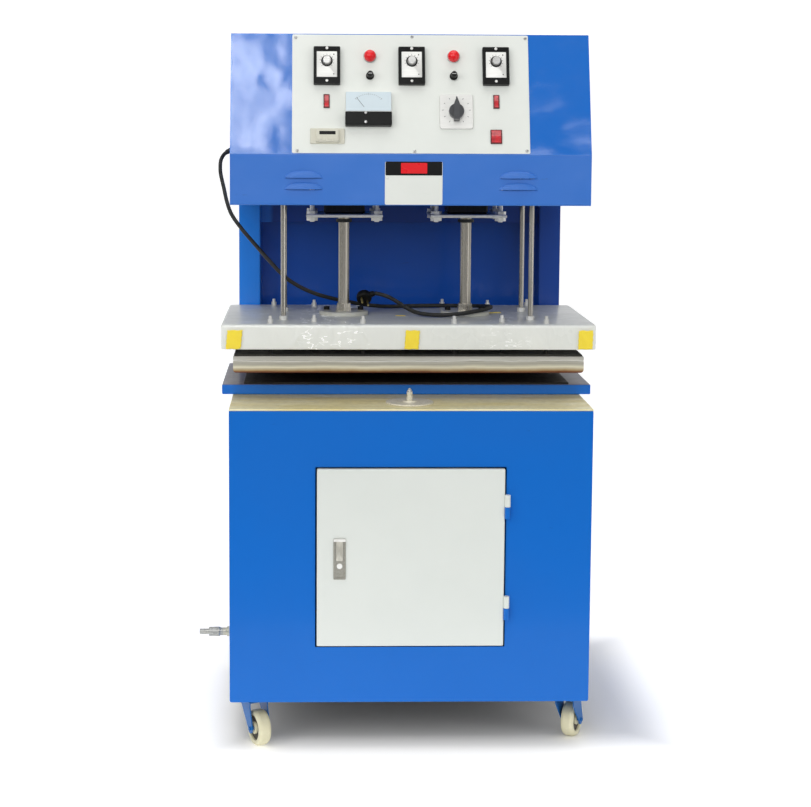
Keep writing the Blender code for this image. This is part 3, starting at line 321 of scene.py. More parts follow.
def buildGrain():
    # a noise squeezed along one axis: brushed or rolled lines, with a colour shade and a height
    group, into, out = newGroup("brushedGrain", {
        "Vector": None, "Stretch": (1.0, 1.0, 1.0), "Colour": None, "Dark Colour": None, "Amount": 0.3,
        "Roughness": 0.3}, ("Colour", "Roughness", "Height"))
    stretch = addNode(group, "ShaderNodeVectorMath", operation="MULTIPLY")
    group.links.new(into.outputs["Vector"], stretch.inputs[0])
    group.links.new(into.outputs["Stretch"], stretch.inputs[1])
    noise = noiseNode(group, stretch.outputs[0], 1.0, 3.0, 0.6)
    mask = rampBetween(group, noise, 0.3, 0.7)
    share = mathNode(group, "MULTIPLY", mask, into.outputs["Amount"])
    colour = mixColour(group, share, into.outputs["Colour"], into.outputs["Dark Colour"])
    rough = mathNode(group, "MULTIPLY_ADD", mask, 0.15, into.outputs["Roughness"])
    return giveOut(group, out, Colour=colour, Roughness=rough, Height=mask)


def buildScuffs():
    # thin scratches and specks: two stretched noises kept only near their tops
    group, into, out = newGroup("scuffMarks", {
        "Vector": None, "Colour": None, "Mark Colour": None, "Amount": 0.4, "Scale": 25.0}, ("Colour",))
    stretch = addNode(group, "ShaderNodeVectorMath", operation="MULTIPLY")
    stretch.inputs[1].default_value = (1.0, 1.0, 5.0)
    group.links.new(into.outputs["Vector"], stretch.inputs[0])
    across = noiseNode(group, stretch.outputs[0], into.outputs["Scale"], 6.0, 0.7)
    marks = rampBetween(group, across, 0.66, 0.74)
    share = mathNode(group, "MULTIPLY", marks, into.outputs["Amount"])
    colour = mixColour(group, share, into.outputs["Colour"], into.outputs["Mark Colour"])
    return giveOut(group, out, Colour=colour)


patchGroup, dustGroup, grainGroup, scuffGroup = buildPatches(), buildDust(), buildGrain(), buildScuffs()
print("shader groups built")


def useGroup(tree, group, **values):
    node = addNode(tree, "ShaderNodeGroup")
    node.node_tree = group
    for key, value in values.items():
        feed(tree, node.inputs[key.replace("_", " ")], value)
    return node.outputs


def linear(red, green, blue):
    # the screen's 0 to 255 steps to light: ((c + 0.055) / 1.055) to the power 2.4
    c = np.array([red, green, blue]) / 255
    light = np.where(c <= 0.04045, c / 12.92, ((c + 0.055) / 1.055) ** 2.4)
    return (*light.tolist(), 1.0)


def newMaterial(name):
    material = bpy.data.materials.new(name)
    material.use_nodes = True
    tree = material.node_tree
    shader = tree.nodes["Principled BSDF"]
    place = addNode(tree, "ShaderNodeTexCoord").outputs["Object"]
    return material, tree, shader, place


def bumpInto(tree, shader, height, strength, distance):
    bump = addNode(tree, "ShaderNodeBump")
    bump.inputs["Strength"].default_value = strength
    bump.inputs["Distance"].default_value = distance
    tree.links.new(height, bump.inputs["Height"])
    tree.links.new(bump.outputs["Normal"], shader.inputs["Normal"])


def wear(tree, shader, made):
    # a group's colour and roughness go to the shader
    tree.links.new(made["Colour"], shader.inputs["Base Color"])
    tree.links.new(made["Roughness"], shader.inputs["Roughness"])


def paintReflectionUpward(tree, shader, colour, amount):
    # what faces up is painted by this share in another colour, a painted reflection; gives back the up-facing
    # mask
    normal = addNode(tree, "ShaderNodeNewGeometry").outputs["Normal"]
    upward = rampBetween(tree, axesOf(tree, normal)["Z"], 0.5, 0.95)
    painted = shader.inputs["Base Color"].links[0].from_socket
    mixed = mixColour(tree, mathNode(tree, "MULTIPLY", upward, amount), painted, linear(*colour))
    tree.links.new(mixed, shader.inputs["Base Color"])
    return upward


def paintFinish(name, colour, second, rough=0.3, coat=0.6, dust=0.15, peel=0.0002, patch=3.0, marks=0.25,
                markColour=(30, 40, 60), dustColour=(190, 190, 185), wave=0.0, waveScale=7.0, specular=0.2):
    # sprayed paint: broad patches, scuffs, resting dust and an orange-peel bump
    material, tree, shader, place = newMaterial(name)
    patches = useGroup(tree, patchGroup, Vector=place, Scale=patch, First_Colour=linear(*colour),
                       Second_Colour=linear(*second), Amount=0.4, Smooth_Roughness=rough,
                       Rough_Roughness=rough + 0.12)
    scuffs = useGroup(tree, scuffGroup, Vector=place, Colour=patches["Colour"],
                      Mark_Colour=linear(*markColour),
                      Amount=marks, Scale=14.0)
    dusty = useGroup(tree, dustGroup, Vector=place, Colour=scuffs["Colour"], Dust_Colour=linear(*dustColour),
                     Amount=dust, Roughness=patches["Roughness"], Scale=40.0)
    wear(tree, shader, dusty)
    shader.inputs["Coat Weight"].default_value = coat
    shader.inputs["Coat Roughness"].default_value = 0.12
    shader.inputs["Specular IOR Level"].default_value = specular
    peelHeight = mathNode(tree, "MULTIPLY", noiseNode(tree, place, 320, 2.0, 0.5), peel)
    sheetWave = mathNode(tree, "MULTIPLY_ADD", noiseNode(tree, place, waveScale, 1.5, 0.4), wave, peelHeight)
    bumpInto(tree, shader, sheetWave, 0.6, 1.0)
    return material


def metalFinish(name, colour, dark, rough=0.28, stretch=(20, 400, 400), amount=0.5, height=0.00004, dust=0.1,
                metallic=1.0):
    # bare metal: drawn lines along one axis, a darker film between them and a little dust
    material, tree, shader, place = newMaterial(name)
    grain = useGroup(tree, grainGroup, Vector=place, Stretch=stretch, Colour=linear(*colour),
                     Dark_Colour=linear(*dark), Amount=amount, Roughness=rough)
    patches = useGroup(tree, patchGroup, Vector=place, Scale=14.0, First_Colour=grain["Colour"],
                       Second_Colour=linear(*dark), Amount=0.25, Smooth_Roughness=rough,
                       Rough_Roughness=rough + 0.15)
    dusty = useGroup(tree, dustGroup, Vector=place, Colour=patches["Colour"],
                     Dust_Colour=linear(150, 145, 135), Amount=dust, Roughness=grain["Roughness"], Scale=60.0)
    wear(tree, shader, dusty)
    shader.inputs["Metallic"].default_value = metallic
    bumpInto(tree, shader, grain["Height"], 0.4, height)
    return material


def plasticFinish(name, colour, second, rough=0.35, grainScale=900, height=0.00006, coat=0.0, dust=0.15,
                  amount=0.4,
                  patch=18.0, specular=0.5):
    # moulded plastic or rubber: a fine spark-eroded grain, faint patches and dust
    material, tree, shader, place = newMaterial(name)
    patches = useGroup(tree, patchGroup, Vector=place, Scale=patch, First_Colour=linear(*colour),
                       Second_Colour=linear(*second), Amount=amount, Smooth_Roughness=rough,
                       Rough_Roughness=rough + 0.15)
    dusty = useGroup(tree, dustGroup, Vector=place, Colour=patches["Colour"],
                     Dust_Colour=linear(170, 168, 160), Amount=dust, Roughness=patches["Roughness"],
                     Scale=80.0)
    wear(tree, shader, dusty)
    shader.inputs["Coat Weight"].default_value = coat
    shader.inputs["Specular IOR Level"].default_value = specular
    bumpInto(tree, shader, noiseNode(tree, place, grainScale, 2.0, 0.6), 0.3, height)
    return material


def shineAbove(material, low, high, dull):
    # below this height the paint has the dull roughness, above it its own
    tree = material.node_tree
    shader = tree.nodes["Principled BSDF"]
    own = shader.inputs["Roughness"].links[0].from_socket
    place = addNode(tree, "ShaderNodeTexCoord").outputs["Object"]
    below = mathNode(tree, "SUBTRACT", 1.0, rampBetween(tree, axesOf(tree, place)["Z"], low, high))
    tree.links.new(mathNode(tree, "MULTIPLY_ADD", below, dull, own), shader.inputs["Roughness"])


def shadedColumn():
    # the left post is painted a lighter blue, a painted highlight, and everything right of it on the column
    # has the back panel's dark blue, a painted shade
    values = {"from": -0.286, "to": -0.272, "lit": (30, 133, 238), "second": (24, 124, 228),
              "dull": (10, 66, 156)}
    material = paintFinish("columnPaintLitAndShaded", values["lit"], values["second"], rough=0.3, coat=0.5, dust=0.05,
                           wave=0.004)
    tree = material.node_tree
    shader = tree.nodes["Principled BSDF"]
    painted = shader.inputs["Base Color"].links[0].from_socket
    place = addNode(tree, "ShaderNodeTexCoord").outputs["Object"]
    # painted light and shade: across this X the lighter painted-highlight blue of the left post turns to the
    # painted-shade dark blue
    share = rampBetween(tree, axesOf(tree, place)["X"], values["from"], values["to"])
    tree.links.new(mixColour(tree, share, painted, linear(*values["dull"])), shader.inputs["Base Color"])
    return material


def heatedFinish():
    # heated plates seen on edge: bands of colour by height, wandering a little, under long streaks; the bands
    # are mostly painted light and shade, with a painted highlight line at the joint between the plates, and
    # the reddish brown at the bottom is partly heat stain and partly painted shade on the lower rounding
    lightShadeAndStainBands = {"low": 0.793, "high": 0.829, "wander": 0.009,
             "stops": [(0.0, (112, 54, 32)), (0.09, (128, 66, 40)), (0.2, (190, 168, 128)),
                       (0.38, (244, 240, 216)),
                       (0.55, (186, 183, 170)), (0.69, (204, 202, 192)), (0.74, (255, 255, 250)),
                       (0.80, (214, 213, 206)), (1.0, (190, 188, 180))]}
    material, tree, shader, place = newMaterial("heatedPlate")
    drift = mathNode(tree, "SUBTRACT", noiseNode(tree, place, 7.0, 4.0, 0.6), 0.5)
    height = mathNode(tree, "MULTIPLY_ADD", drift, lightShadeAndStainBands["wander"], axesOf(tree, place)["Z"])
    share = addNode(tree, "ShaderNodeMapRange")
    tree.links.new(height, share.inputs["Value"])
    share.inputs["From Min"].default_value = lightShadeAndStainBands["low"]
    share.inputs["From Max"].default_value = lightShadeAndStainBands["high"]
    ramp = addNode(tree, "ShaderNodeValToRGB")
    tree.links.new(share.outputs["Result"], ramp.inputs["Fac"])
    stops = ramp.color_ramp.elements
    stops[0].position, stops[0].color = lightShadeAndStainBands["stops"][0][0], linear(*lightShadeAndStainBands["stops"][0][1])
    stops[1].position, stops[1].color = lightShadeAndStainBands["stops"][-1][0], linear(*lightShadeAndStainBands["stops"][-1][1])
    for position, colour in lightShadeAndStainBands["stops"][1:-1]:
        stops.new(position).color = linear(*colour)
    grain = useGroup(tree, grainGroup, Vector=place, Stretch=(4, 120, 200), Colour=ramp.outputs["Color"],
                     Dark_Colour=linear(120, 108, 88), Amount=0.22, Roughness=0.3)
    wear(tree, shader, grain)
    shader.inputs["Metallic"].default_value = 0.3
    bumpInto(tree, shader, grain["Height"], 0.4, 0.0002)
    return material


def twoMetals(name, first, second, axis, low, high, rough, metallic=(0.7, 0.7), stretch=(300, 300, 300),
              amount=0.3, height=0.00008):
    # one metal below a level on an axis and another above it, with drawn grain in both
    material, tree, shader, place = newMaterial(name)
    share = rampBetween(tree, axesOf(tree, place)[axis], low, high)
    colour = mixColour(tree, share, linear(*first), linear(*second))
    roughness = mathNode(tree, "MULTIPLY_ADD", share, rough[1] - rough[0], rough[0])
    grain = useGroup(tree, grainGroup, Vector=place, Stretch=stretch, Colour=colour,
                     Dark_Colour=linear(110, 104, 90), Amount=amount, Roughness=roughness)
    wear(tree, shader, grain)
    tree.links.new(mathNode(tree, "MULTIPLY_ADD", share, metallic[1] - metallic[0], metallic[0]),
                   shader.inputs["Metallic"])
    bumpInto(tree, shader, grain["Height"], 0.3, height)
    return material


def filmFinish():
    # stretched wrap over white paint: fine vertical pulls in the bump, sharp gloss, painted glints along
    # creases on the front and a painted grey reflection on what faces up
    material, tree, shader, place = newMaterial("whiteFilm")
    patches = useGroup(tree, patchGroup, Vector=place, Scale=5.0, First_Colour=linear(241, 243, 237),
                       Second_Colour=linear(226, 229, 224), Amount=0.6, Smooth_Roughness=0.16,
                       Rough_Roughness=0.32)
    dusty = useGroup(tree, dustGroup, Vector=place, Colour=patches["Colour"],
                     Dust_Colour=linear(200, 198, 188),
                     Amount=0.3, Roughness=patches["Roughness"], Scale=25.0)
    # painted highlights: where the glint lines lie along the film's creases, how wide they are and how
    # strongly they glow
    creases = {"turn": 0.75, "scale": 16.0, "stretch": (1.0, 1.0, 3.5), "level": 0.5, "wide": 0.011,
               "glint": 0.45, "left": (-0.225, -0.19, -0.085, -0.05), "right": (0.17, 0.20, 0.26, 0.30)}
    across = axesOf(tree, place)["X"]
    # a ramp up between the first two places less a ramp up between the last two
    left, right = [mathNode(tree, "SUBTRACT", rampBetween(tree, across, a, b),
                            rampBetween(tree, across, c, d))
                   for a, b, c, d in (creases["left"], creases["right"])]
    slanted = addNode(tree, "ShaderNodeMapping")
    slanted.inputs["Rotation"].default_value = (0.0, creases["turn"], 0.0)
    slanted.inputs["Scale"].default_value = creases["stretch"]
    tree.links.new(place, slanted.inputs["Vector"])
    crumple = noiseNode(tree, slanted.outputs[0], creases["scale"], 3.0, 0.6)
    off = mathNode(tree, "ABSOLUTE", mathNode(tree, "SUBTRACT", crumple, creases["level"]))
    line = mathNode(tree, "SUBTRACT", 1.0, rampBetween(tree, off, creases["wide"] * 0.4, creases["wide"]))
    broken = rampBetween(tree, noiseNode(tree, place, 38.0, 2.0, 0.5), 0.46, 0.56)
    where = mathNode(tree, "MULTIPLY", mathNode(tree, "MULTIPLY_ADD", right, 0.5, left), broken)
    mark = mathNode(tree, "MULTIPLY", line, where)
    # painted glint: white mixed into the colour and a white glow along the crease lines, standing in for
    # light caught on the creases
    tree.links.new(mixColour(tree, mark, dusty["Colour"], (1.0, 1.0, 1.0, 1.0)), shader.inputs["Base Color"])
    shader.inputs["Emission Color"].default_value = (1.0, 1.0, 1.0, 1.0)
    tree.links.new(mathNode(tree, "MULTIPLY", mark, creases["glint"]), shader.inputs["Emission Strength"])
    # the hood's top is painted grey, a painted reflection of the surroundings seen at a grazing angle
    upward = paintReflectionUpward(tree, shader, (176, 180, 180), 0.6)
    tree.links.new(mathNode(tree, "MULTIPLY_ADD", upward, 0.15, dusty["Roughness"]),
                   shader.inputs["Roughness"])
    tree.links.new(mathNode(tree, "MULTIPLY_ADD", upward, -0.5, 0.7), shader.inputs["Coat Weight"])
    shader.inputs["Coat Roughness"].default_value = 0.06
    pulls = useGroup(tree, grainGroup, Vector=place, Stretch=(60.0, 14.0, 9.0), Colour=linear(255, 255, 255),
                     Dark_Colour=linear(0, 0, 0), Amount=0.0, Roughness=0.2)
    bumpInto(tree, shader, pulls["Height"], 0.35, 0.0012)
    return material


# each finish: its maker, then the name, two colours and what differs from the maker's own values
finishes = {
    paintFinish: {
        "bluePaint": ((9, 107, 202), (7, 102, 195), dict(coat=0.2, dust=0.06, wave=0.002)),
        "fasciaPaint": ((9, 107, 203), (7, 102, 196),
                        dict(rough=0.08, coat=0.0, dust=0.04, wave=0.0062, waveScale=13.0, specular=0.9)),
        "forkPaint": ((16, 104, 178), (12, 84, 150), dict(rough=0.35, coat=0.2, dust=0.05)),
        # the cabinet blue darkened as a painted shade, for the column's back panel and the bars under the
        # head
        "darkBluePaint": ((8, 84, 186), (6, 76, 172), dict(coat=0.4, dust=0.08, wave=0.004)),
        "bedPaint": ((34, 114, 208), (27, 106, 198),
                     dict(rough=0.42, coat=0.15, dust=0.2, dustColour=(170, 150, 136), wave=0.003)),
        "primer": ((38, 40, 44), (30, 32, 36), dict(rough=0.5, coat=0.1, dust=0.1)),
        "whitePaint": ((227, 231, 225), (218, 223, 217),
                       dict(rough=0.4, coat=0.2, marks=0.15, markColour=(150, 150, 140))),
        "panelPaint": ((235, 238, 232), (225, 229, 223),
                       dict(rough=0.35, coat=0.3, marks=0.08, markColour=(160, 160, 150), peel=0.00008,
                            patch=6.0)),
    },
    metalFinish: {
        "goldPlate": ((248, 242, 204), (222, 206, 138),
                      dict(rough=0.38, stretch=(5, 24, 24), amount=0.7, dust=0.2, metallic=0.2)),
        "zinc": ((205, 205, 205), (160, 160, 158), dict(rough=0.3, stretch=(90, 90, 90))),
        "chrome": ((186, 182, 173), (160, 157, 150),
                   dict(rough=0.16, stretch=(60, 60, 2), amount=0.05, height=0.0000002, dust=0.02,
                        metallic=0.85)),
        "brass": ((205, 190, 130), (170, 150, 90), dict(rough=0.25, stretch=(400, 400, 60))),
        "aluminium": ((214, 214, 212), (180, 180, 176), dict(rough=0.3, stretch=(12, 260, 500), amount=0.4)),
        "lockMetal": ((174, 172, 162), (136, 134, 124),
                      dict(rough=0.38, stretch=(300, 300, 300), height=0.0001, metallic=0.4)),
        "lockPale": ((252, 252, 248), (236, 234, 226), dict(rough=0.3, stretch=(200, 200, 60), metallic=0.1)),
        "lockLever": ((206, 204, 192), (176, 172, 160), dict(rough=0.3, stretch=(200, 200, 60),
                                                             metallic=0.4)),
        "darkAnodised": ((44, 46, 50), (26, 27, 30), dict(rough=0.4, stretch=(300, 300, 30), metallic=0.6)),
        "studSteel": ((236, 236, 232), (206, 206, 202), dict(rough=0.3, stretch=(90, 90, 90), metallic=0.4)),
        "paleSteel": ((232, 232, 228), (214, 214, 210),
                      dict(rough=0.35, stretch=(30, 600, 600), amount=0.3, metallic=0.35)),
    },
    plasticFinish: {
        "insulation": ((42, 42, 38), (58, 54, 48), dict(rough=0.7, grainScale=400, patch=9.0)),
        "blackRubber": ((22, 23, 22), (34, 34, 32), dict(rough=0.55, grainScale=500)),
        "blackPlastic": ((11, 12, 12), (17, 18, 18), dict(rough=0.34, dust=0.015, specular=0.2)),
        "redPlastic": ((236, 10, 26), (220, 6, 20), dict(rough=0.18, coat=0.35, dust=0.02, specular=0.4)),
        "knobGrey": ((58, 60, 64), (48, 50, 54), dict(rough=0.28, coat=0.5)),
        "beigePlastic": ((214, 212, 196), (200, 198, 182), dict(rough=0.4)),
        "palePlastic": ((228, 230, 228), (216, 218, 216), dict(rough=0.3, coat=0.3)),
        "meterScale": ((216, 230, 236), (206, 222, 230), dict(rough=0.12, coat=0.8, dust=0.0)),
        "rockerRed": ((224, 40, 52), (150, 16, 28), dict(rough=0.22, coat=0.6, dust=0.03, patch=120.0,
                                                         amount=0.8)),
        "rockerFrame": ((86, 14, 22), (62, 10, 16), dict(coat=0.1, dust=0.0)),
        "creamWheel": ((232, 227, 194), (208, 201, 164), dict(rough=0.45, patch=30.0)),
        "darkWeb": ((74, 70, 60), (54, 50, 44), dict(rough=0.6, dust=0.3)),
        "yellowTape": ((255, 230, 66), (248, 218, 58),
                       dict(rough=0.3, patch=40.0, coat=0.3, grainScale=200, height=0.0002)),
    },
    # the second metal takes over from the first between the two levels on the axis
    twoMetals: {
        "pinBrass": ((238, 232, 212), (236, 236, 234),
                     dict(axis="Z", low=0.757, high=0.7595, rough=(0.3, 0.2), metallic=(0.2, 0.8))),
        "inletMetal": ((196, 196, 188), (222, 218, 196),
                       dict(axis="X", low=-0.3785, high=-0.3775, rough=(0.32, 0.32))),
        "rodSteel": ((200, 200, 190), (188, 183, 172),
                     dict(axis="Z", low=0.9070, high=0.9078, rough=(0.4, 0.2), metallic=(0.1, 0.85),
                          stretch=(60, 60, 2), amount=0.05, height=0.0000002)),
    },
}


def makeFinishes():
    made = {"heatedPlate": heatedFinish(), "columnPaintLitAndShaded": shadedColumn(), "whiteFilm": filmFinish()}
    for maker, kinds in finishes.items():
        for name, (first, second, values) in kinds.items():
            made[name] = maker(name, first, second, **values)
    shineAbove(made["fasciaPaint"], 1.258, 1.264, 0.36)
    # the tray's up-facing faces are painted grey, a painted reflection of the white surroundings in the
    # glossy blue
    bed = made["bedPaint"].node_tree
    paintReflectionUpward(bed, bed.nodes["Principled BSDF"], (126, 122, 122), 0.9)
    return made


makeCamera()
finish = makeFinishes()
print("camera and finishes ready")


# cord and plug
cordValues = {
    "radius": 0.0045, "spacing": 0.005, "sides": 20,
    "bootLength": 0.030, "bootRadius": 0.0085,
    "hanging": [
        (-0.3868, 0.5750, 1.2620), (-0.3925, 0.5748, 1.2616), (-0.4008, 0.5736, 1.2597),
        (-0.4087, 0.5709, 1.2559), (-0.4159, 0.5667, 1.2500), (-0.4212, 0.5606, 1.2419),
        (-0.4240, 0.5522, 1.2309), (-0.4236, 0.5386, 1.2129), (-0.4208, 0.5265, 1.1983),
        (-0.4133, 0.5010, 1.1722), (-0.4057, 0.4723, 1.1447), (-0.3930, 0.4280, 1.1170),
        (-0.3710, 0.3920, 1.0890), (-0.3420, 0.3600, 1.0580), (-0.2792, 0.3348, 0.9905),
        (-0.2438, 0.3355, 0.9632), (-0.2043, 0.3431, 0.9435), (-0.1635, 0.3562, 0.9303)],
    "lying": [
        (-0.1235, 0.3739, 0.9202), (-0.0848, 0.3949, 0.9117), (-0.0455, 0.4158, 0.9057),
        (-0.0039, 0.4324, 0.9043), (0.0399, 0.4421, 0.9043), (0.0846, 0.4457, 0.9045),
        (0.1292, 0.4429, 0.9046),
        (0.1676, 0.4210, 0.9065), (0.1904, 0.3829, 0.9099), (0.1970, 0.3389, 0.9131),
        (0.1865, 0.2956, 0.9142),
        (0.1567, 0.2630, 0.9115), (0.1152, 0.2473, 0.9069), (0.0706, 0.2469, 0.9043),
        (0.0288, 0.2621, 0.9072),
        (0.0041, 0.2847, 0.9156), (-0.0114, 0.3036, 0.9243), (-0.0242, 0.3165, 0.9314),
        (-0.0366, 0.3247, 0.9370), (-0.0512, 0.3290, 0.9416), (-0.0668, 0.3290, 0.9448)],
}
plugValues = {
    "into": (-0.929, 0.120, -0.350), "pinWay": (0.086, -0.850, -0.519), "bodyRadius": 0.0170,
    "thickness": 0.0200,
    "relief": 0.010, "pinLength": 0.018, "pinApart": 0.008, "gap": 0.0003,
}


def unit(v):
    v = np.asarray(v, float)
    return v / np.linalg.norm(v)


def makePlug(v, last):
    # a round body turned about the pins' way, a ribbed sleeve round the cord, and two round pins with
    # domed ends
    way, out = unit(v["into"]), unit(v["pinWay"])
    across = unit(np.cross(way, out))
    start = last + way * v["gap"]
    centre = start + way * (v["relief"] + 0.9 * v["bodyRadius"])
    half, r = v["thickness"] / 2, v["bodyRadius"]
    side = unit(np.cross(across, out))
    body = turned([(r * 0.55, -half), (r * 0.80, -half + 0.0012), (r * 0.95, -half + 0.0045),
                   (r, -half + 0.0085),
                   (r, half - 0.0052), (r * 0.985, half - 0.0036), (r * 0.94, half - 0.0030),
                   (r * 0.94, half - 0.0012), (r * 0.88, half)], 48)
    body = moved(body, centre, side, across, out)
    # the sleeve's radius falls along its length and dips at each of four grooves
    s = np.linspace(0, v["relief"] + 0.006, 41)
    wave = 0.0007 * (np.sin(s / (v["relief"] + 0.006) * math.pi * 9) > 0)
    sleeve = tube(start[None] + s[:, None] * way, 0.0060 + 0.0030 * s / s[-1] - wave * (s < s[-1] * 0.8), 24)
    rubber = addPiece("plug_body", joined([body, sleeve]), "blackPlastic", "platen",
                      replaces=["plug"])
    spread = unit(np.cross(way, out) + 0.7 * way - 0.7 * way.dot(out) * out)
    pinShape = turned([(0.0023, -0.001), (0.0024, 0.002), (0.0024, v["pinLength"] - 0.0022),
                       (0.0021, v["pinLength"] - 0.0010), (0.0012, v["pinLength"] - 0.0001)], 20)
    pins = [moved(pinShape, centre + out * half + spread * k * v["pinApart"], side, across, out)
            for k in (-1, 1)]
    brass = addPiece("plug_pins", joined(pins), "brass", "platen")
    return rubber, brass


def makeCord(v):
    points = np.array(v["hanging"] + v["lying"]) + zero
    line = curveThrough(points, v["spacing"])
    cord = addPiece("power_cord", tube(line, v["radius"], v["sides"]), "blackRubber", None,
                    replaces=["cord_hanging", "cord_lying"], ride=False)
    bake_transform(cord)
    # the boot follows the cord's first stretch and tapers to just over its radius
    run = np.concatenate([[0], np.cumsum(np.linalg.norm(np.diff(line, axis=0), axis=1))])
    first = line[run <= v["bootLength"]]
    share = run[run <= v["bootLength"]] / v["bootLength"]
    rings = 0.0005 * (np.arange(len(first)) % 2)
    boot = tube(first, v["bootRadius"] - (v["bootRadius"] - v["radius"] - 0.0006) * share - rings, 24)
    boot = addPiece("cord_boot", boot, "blackRubber", "frame")
    plug = makePlug(plugValues, points[-1])


makeCord(cordValues)


# finishes on the machine's own parts
corners = ("front_left", "front_right", "rear_left", "rear_right")
fronts = ["cabinet_front_" + side for side in ("left", "right", "top", "bottom")]
wears = {
    "bluePaint": [*fronts, "cabinet_left_side", "cabinet_right_side", "cabinet_back", "rear_cover",
                  "upper_left_side", "upper_right_side", "head_top", "upper_hinge", "lower_hinge"],
    "bedPaint": ["bed_tray"],
    "fasciaPaint": ["head_fascia"],
    "columnPaintLitAndShaded": ["column_frame"],
    "forkPaint": [corner + "_fork" for corner in corners],
    "darkBluePaint": ["column_back_panel", "head_front_bar", "head_rear_bar"],
    "primer": ["cabinet_floor"],
    "whitePaint": ["door"],
    "goldPlate": ["worktop"],
    "pinBrass": ["pivot_flange"],
    "heatedPlate": ["heater_lower", "heater_upper"],
    "aluminium": ["left_dial", "middle_dial", "right_dial"],
    "darkAnodised": ["left_cylinder", "right_cylinder"],
    "lockMetal": ["door_lock"],
    "insulation": ["insulation_board"],
    "blackRubber": ["bed_pad"],
    "studSteel": ["left_clamp_plate", "right_clamp_plate"],
    "rodSteel": ["left_piston_rod", "right_piston_rod"],
    "chrome": [corner + "_guide_rod" for corner in corners],
    "inletMetal": ["air_inlet"],
    "blackPlastic": ["cord_gland", "meter"],
    "knobGrey": ["selector_knob"],
    "beigePlastic": ["counter"],
    "panelPaint": ["control_panel"],
    "whiteFilm": ["hood"],
    "creamWheel": [corner + "_wheel" for corner in corners],
}
for key, names in wears.items():
    for name in names:
        slots = nodes[name].data.materials
        if not slots:
            slots.append(finish[key])
        for index in range(len(slots)):
            slots[index] = finish[key]


def makeFrontSheet():
    # one sheet with the doorway in it: outer and inner outlines at the back and the front, closed into a ring
    left, right, top, bottom = [[np.array(c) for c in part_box(name)] for name in fronts]
    low = np.array([left[0][0], left[0][1], left[0][2]])
    high = np.array([right[1][0], left[1][1], right[1][2]])
    gapLow, gapHigh = np.array([left[1][0], bottom[1][2]]), np.array([right[0][0], top[0][2]])
    rows = []
    for inner, inset, y in ((0, 0, high[1]), (0, 0, low[1] + 0.0004), (0, 0.0004, low[1]),
                            (1, 0.0004, low[1]),
                            (1, 0, low[1] + 0.0004), (1, 0, high[1])):
        a, b = (gapLow - inset, gapHigh + inset) if inner else (low[[0, 2]] + inset, high[[0, 2]] - inset)
        plan = plateOutline(*(b - a), 0.0012 if inner else 0.004) + (a + b) / 2
        rows.append(np.stack([plan[:, 0], np.full(len(plan), y), plan[:, 1]], 1))
    addPiece("cabinet_front_sheet", (np.concatenate(rows), ringFaces(6, len(rows[0]))), "bluePaint",
             "frame",
             replaces=fronts)


makeFrontSheet()


# wheels
wheelValues = {
    "tyre": [(0.0262, -0.0122), (0.0276, -0.0138), (0.0320, -0.0139), (0.0350, -0.0128), (0.0371, -0.0098),
             (0.0373, -0.0084), (0.0380, -0.0076), (0.0380, 0.0076), (0.0373, 0.0084), (0.0371, 0.0098),
             (0.0350, 0.0128), (0.0320, 0.0139), (0.0276, 0.0138), (0.0262, 0.0122)],
    "hub": [(0.0048, -0.0139), (0.0110, -0.0139), (0.0126, -0.0128), (0.0130, 0.0), (0.0126, 0.0128),
            (0.0110, 0.0139), (0.0048, 0.0139)],
    "web": [(0.0124, -0.0088), (0.0266, -0.0088), (0.0266, 0.0088), (0.0124, 0.0088)],
}


def makeWheels(v):
    # the axle is the direction in which the wheel's own points spread least
    for name in corners:
        wheel = nodes[name + "_wheel"]
        points = np.array([wheel.matrix_world @ p.co for p in wheel.data.vertices])
        centre = (points.min(0) + points.max(0)) / 2
        axle = np.linalg.svd(points - centre, full_matrices=False)[2][2]
        across = np.cross(axle, (0, 0, 1.0))
        across /= np.linalg.norm(across)
        axes = (across, np.cross(axle, across), axle)
        cream = joined([moved(spunRing(v[part], 56), centre, *axes) for part in ("tyre", "hub")])
        addPiece(name + "_tyre", cream, "creamWheel", name + "_caster_wheel",
                 replaces=[name + "_wheel"])
        addPiece(name + "_web", moved(spunRing(v["web"], 56), centre, *axes), "darkWeb",
                 name + "_caster_wheel")


makeWheels(wheelValues)


# door lock
lockValues = {"rim": 0.0036, "drop": 0.0014, "lever": (0.0150, 0.0420, 0.0170), "button": (0.0058, -0.0150),
              "cap": (0.0252, 0.0058)}


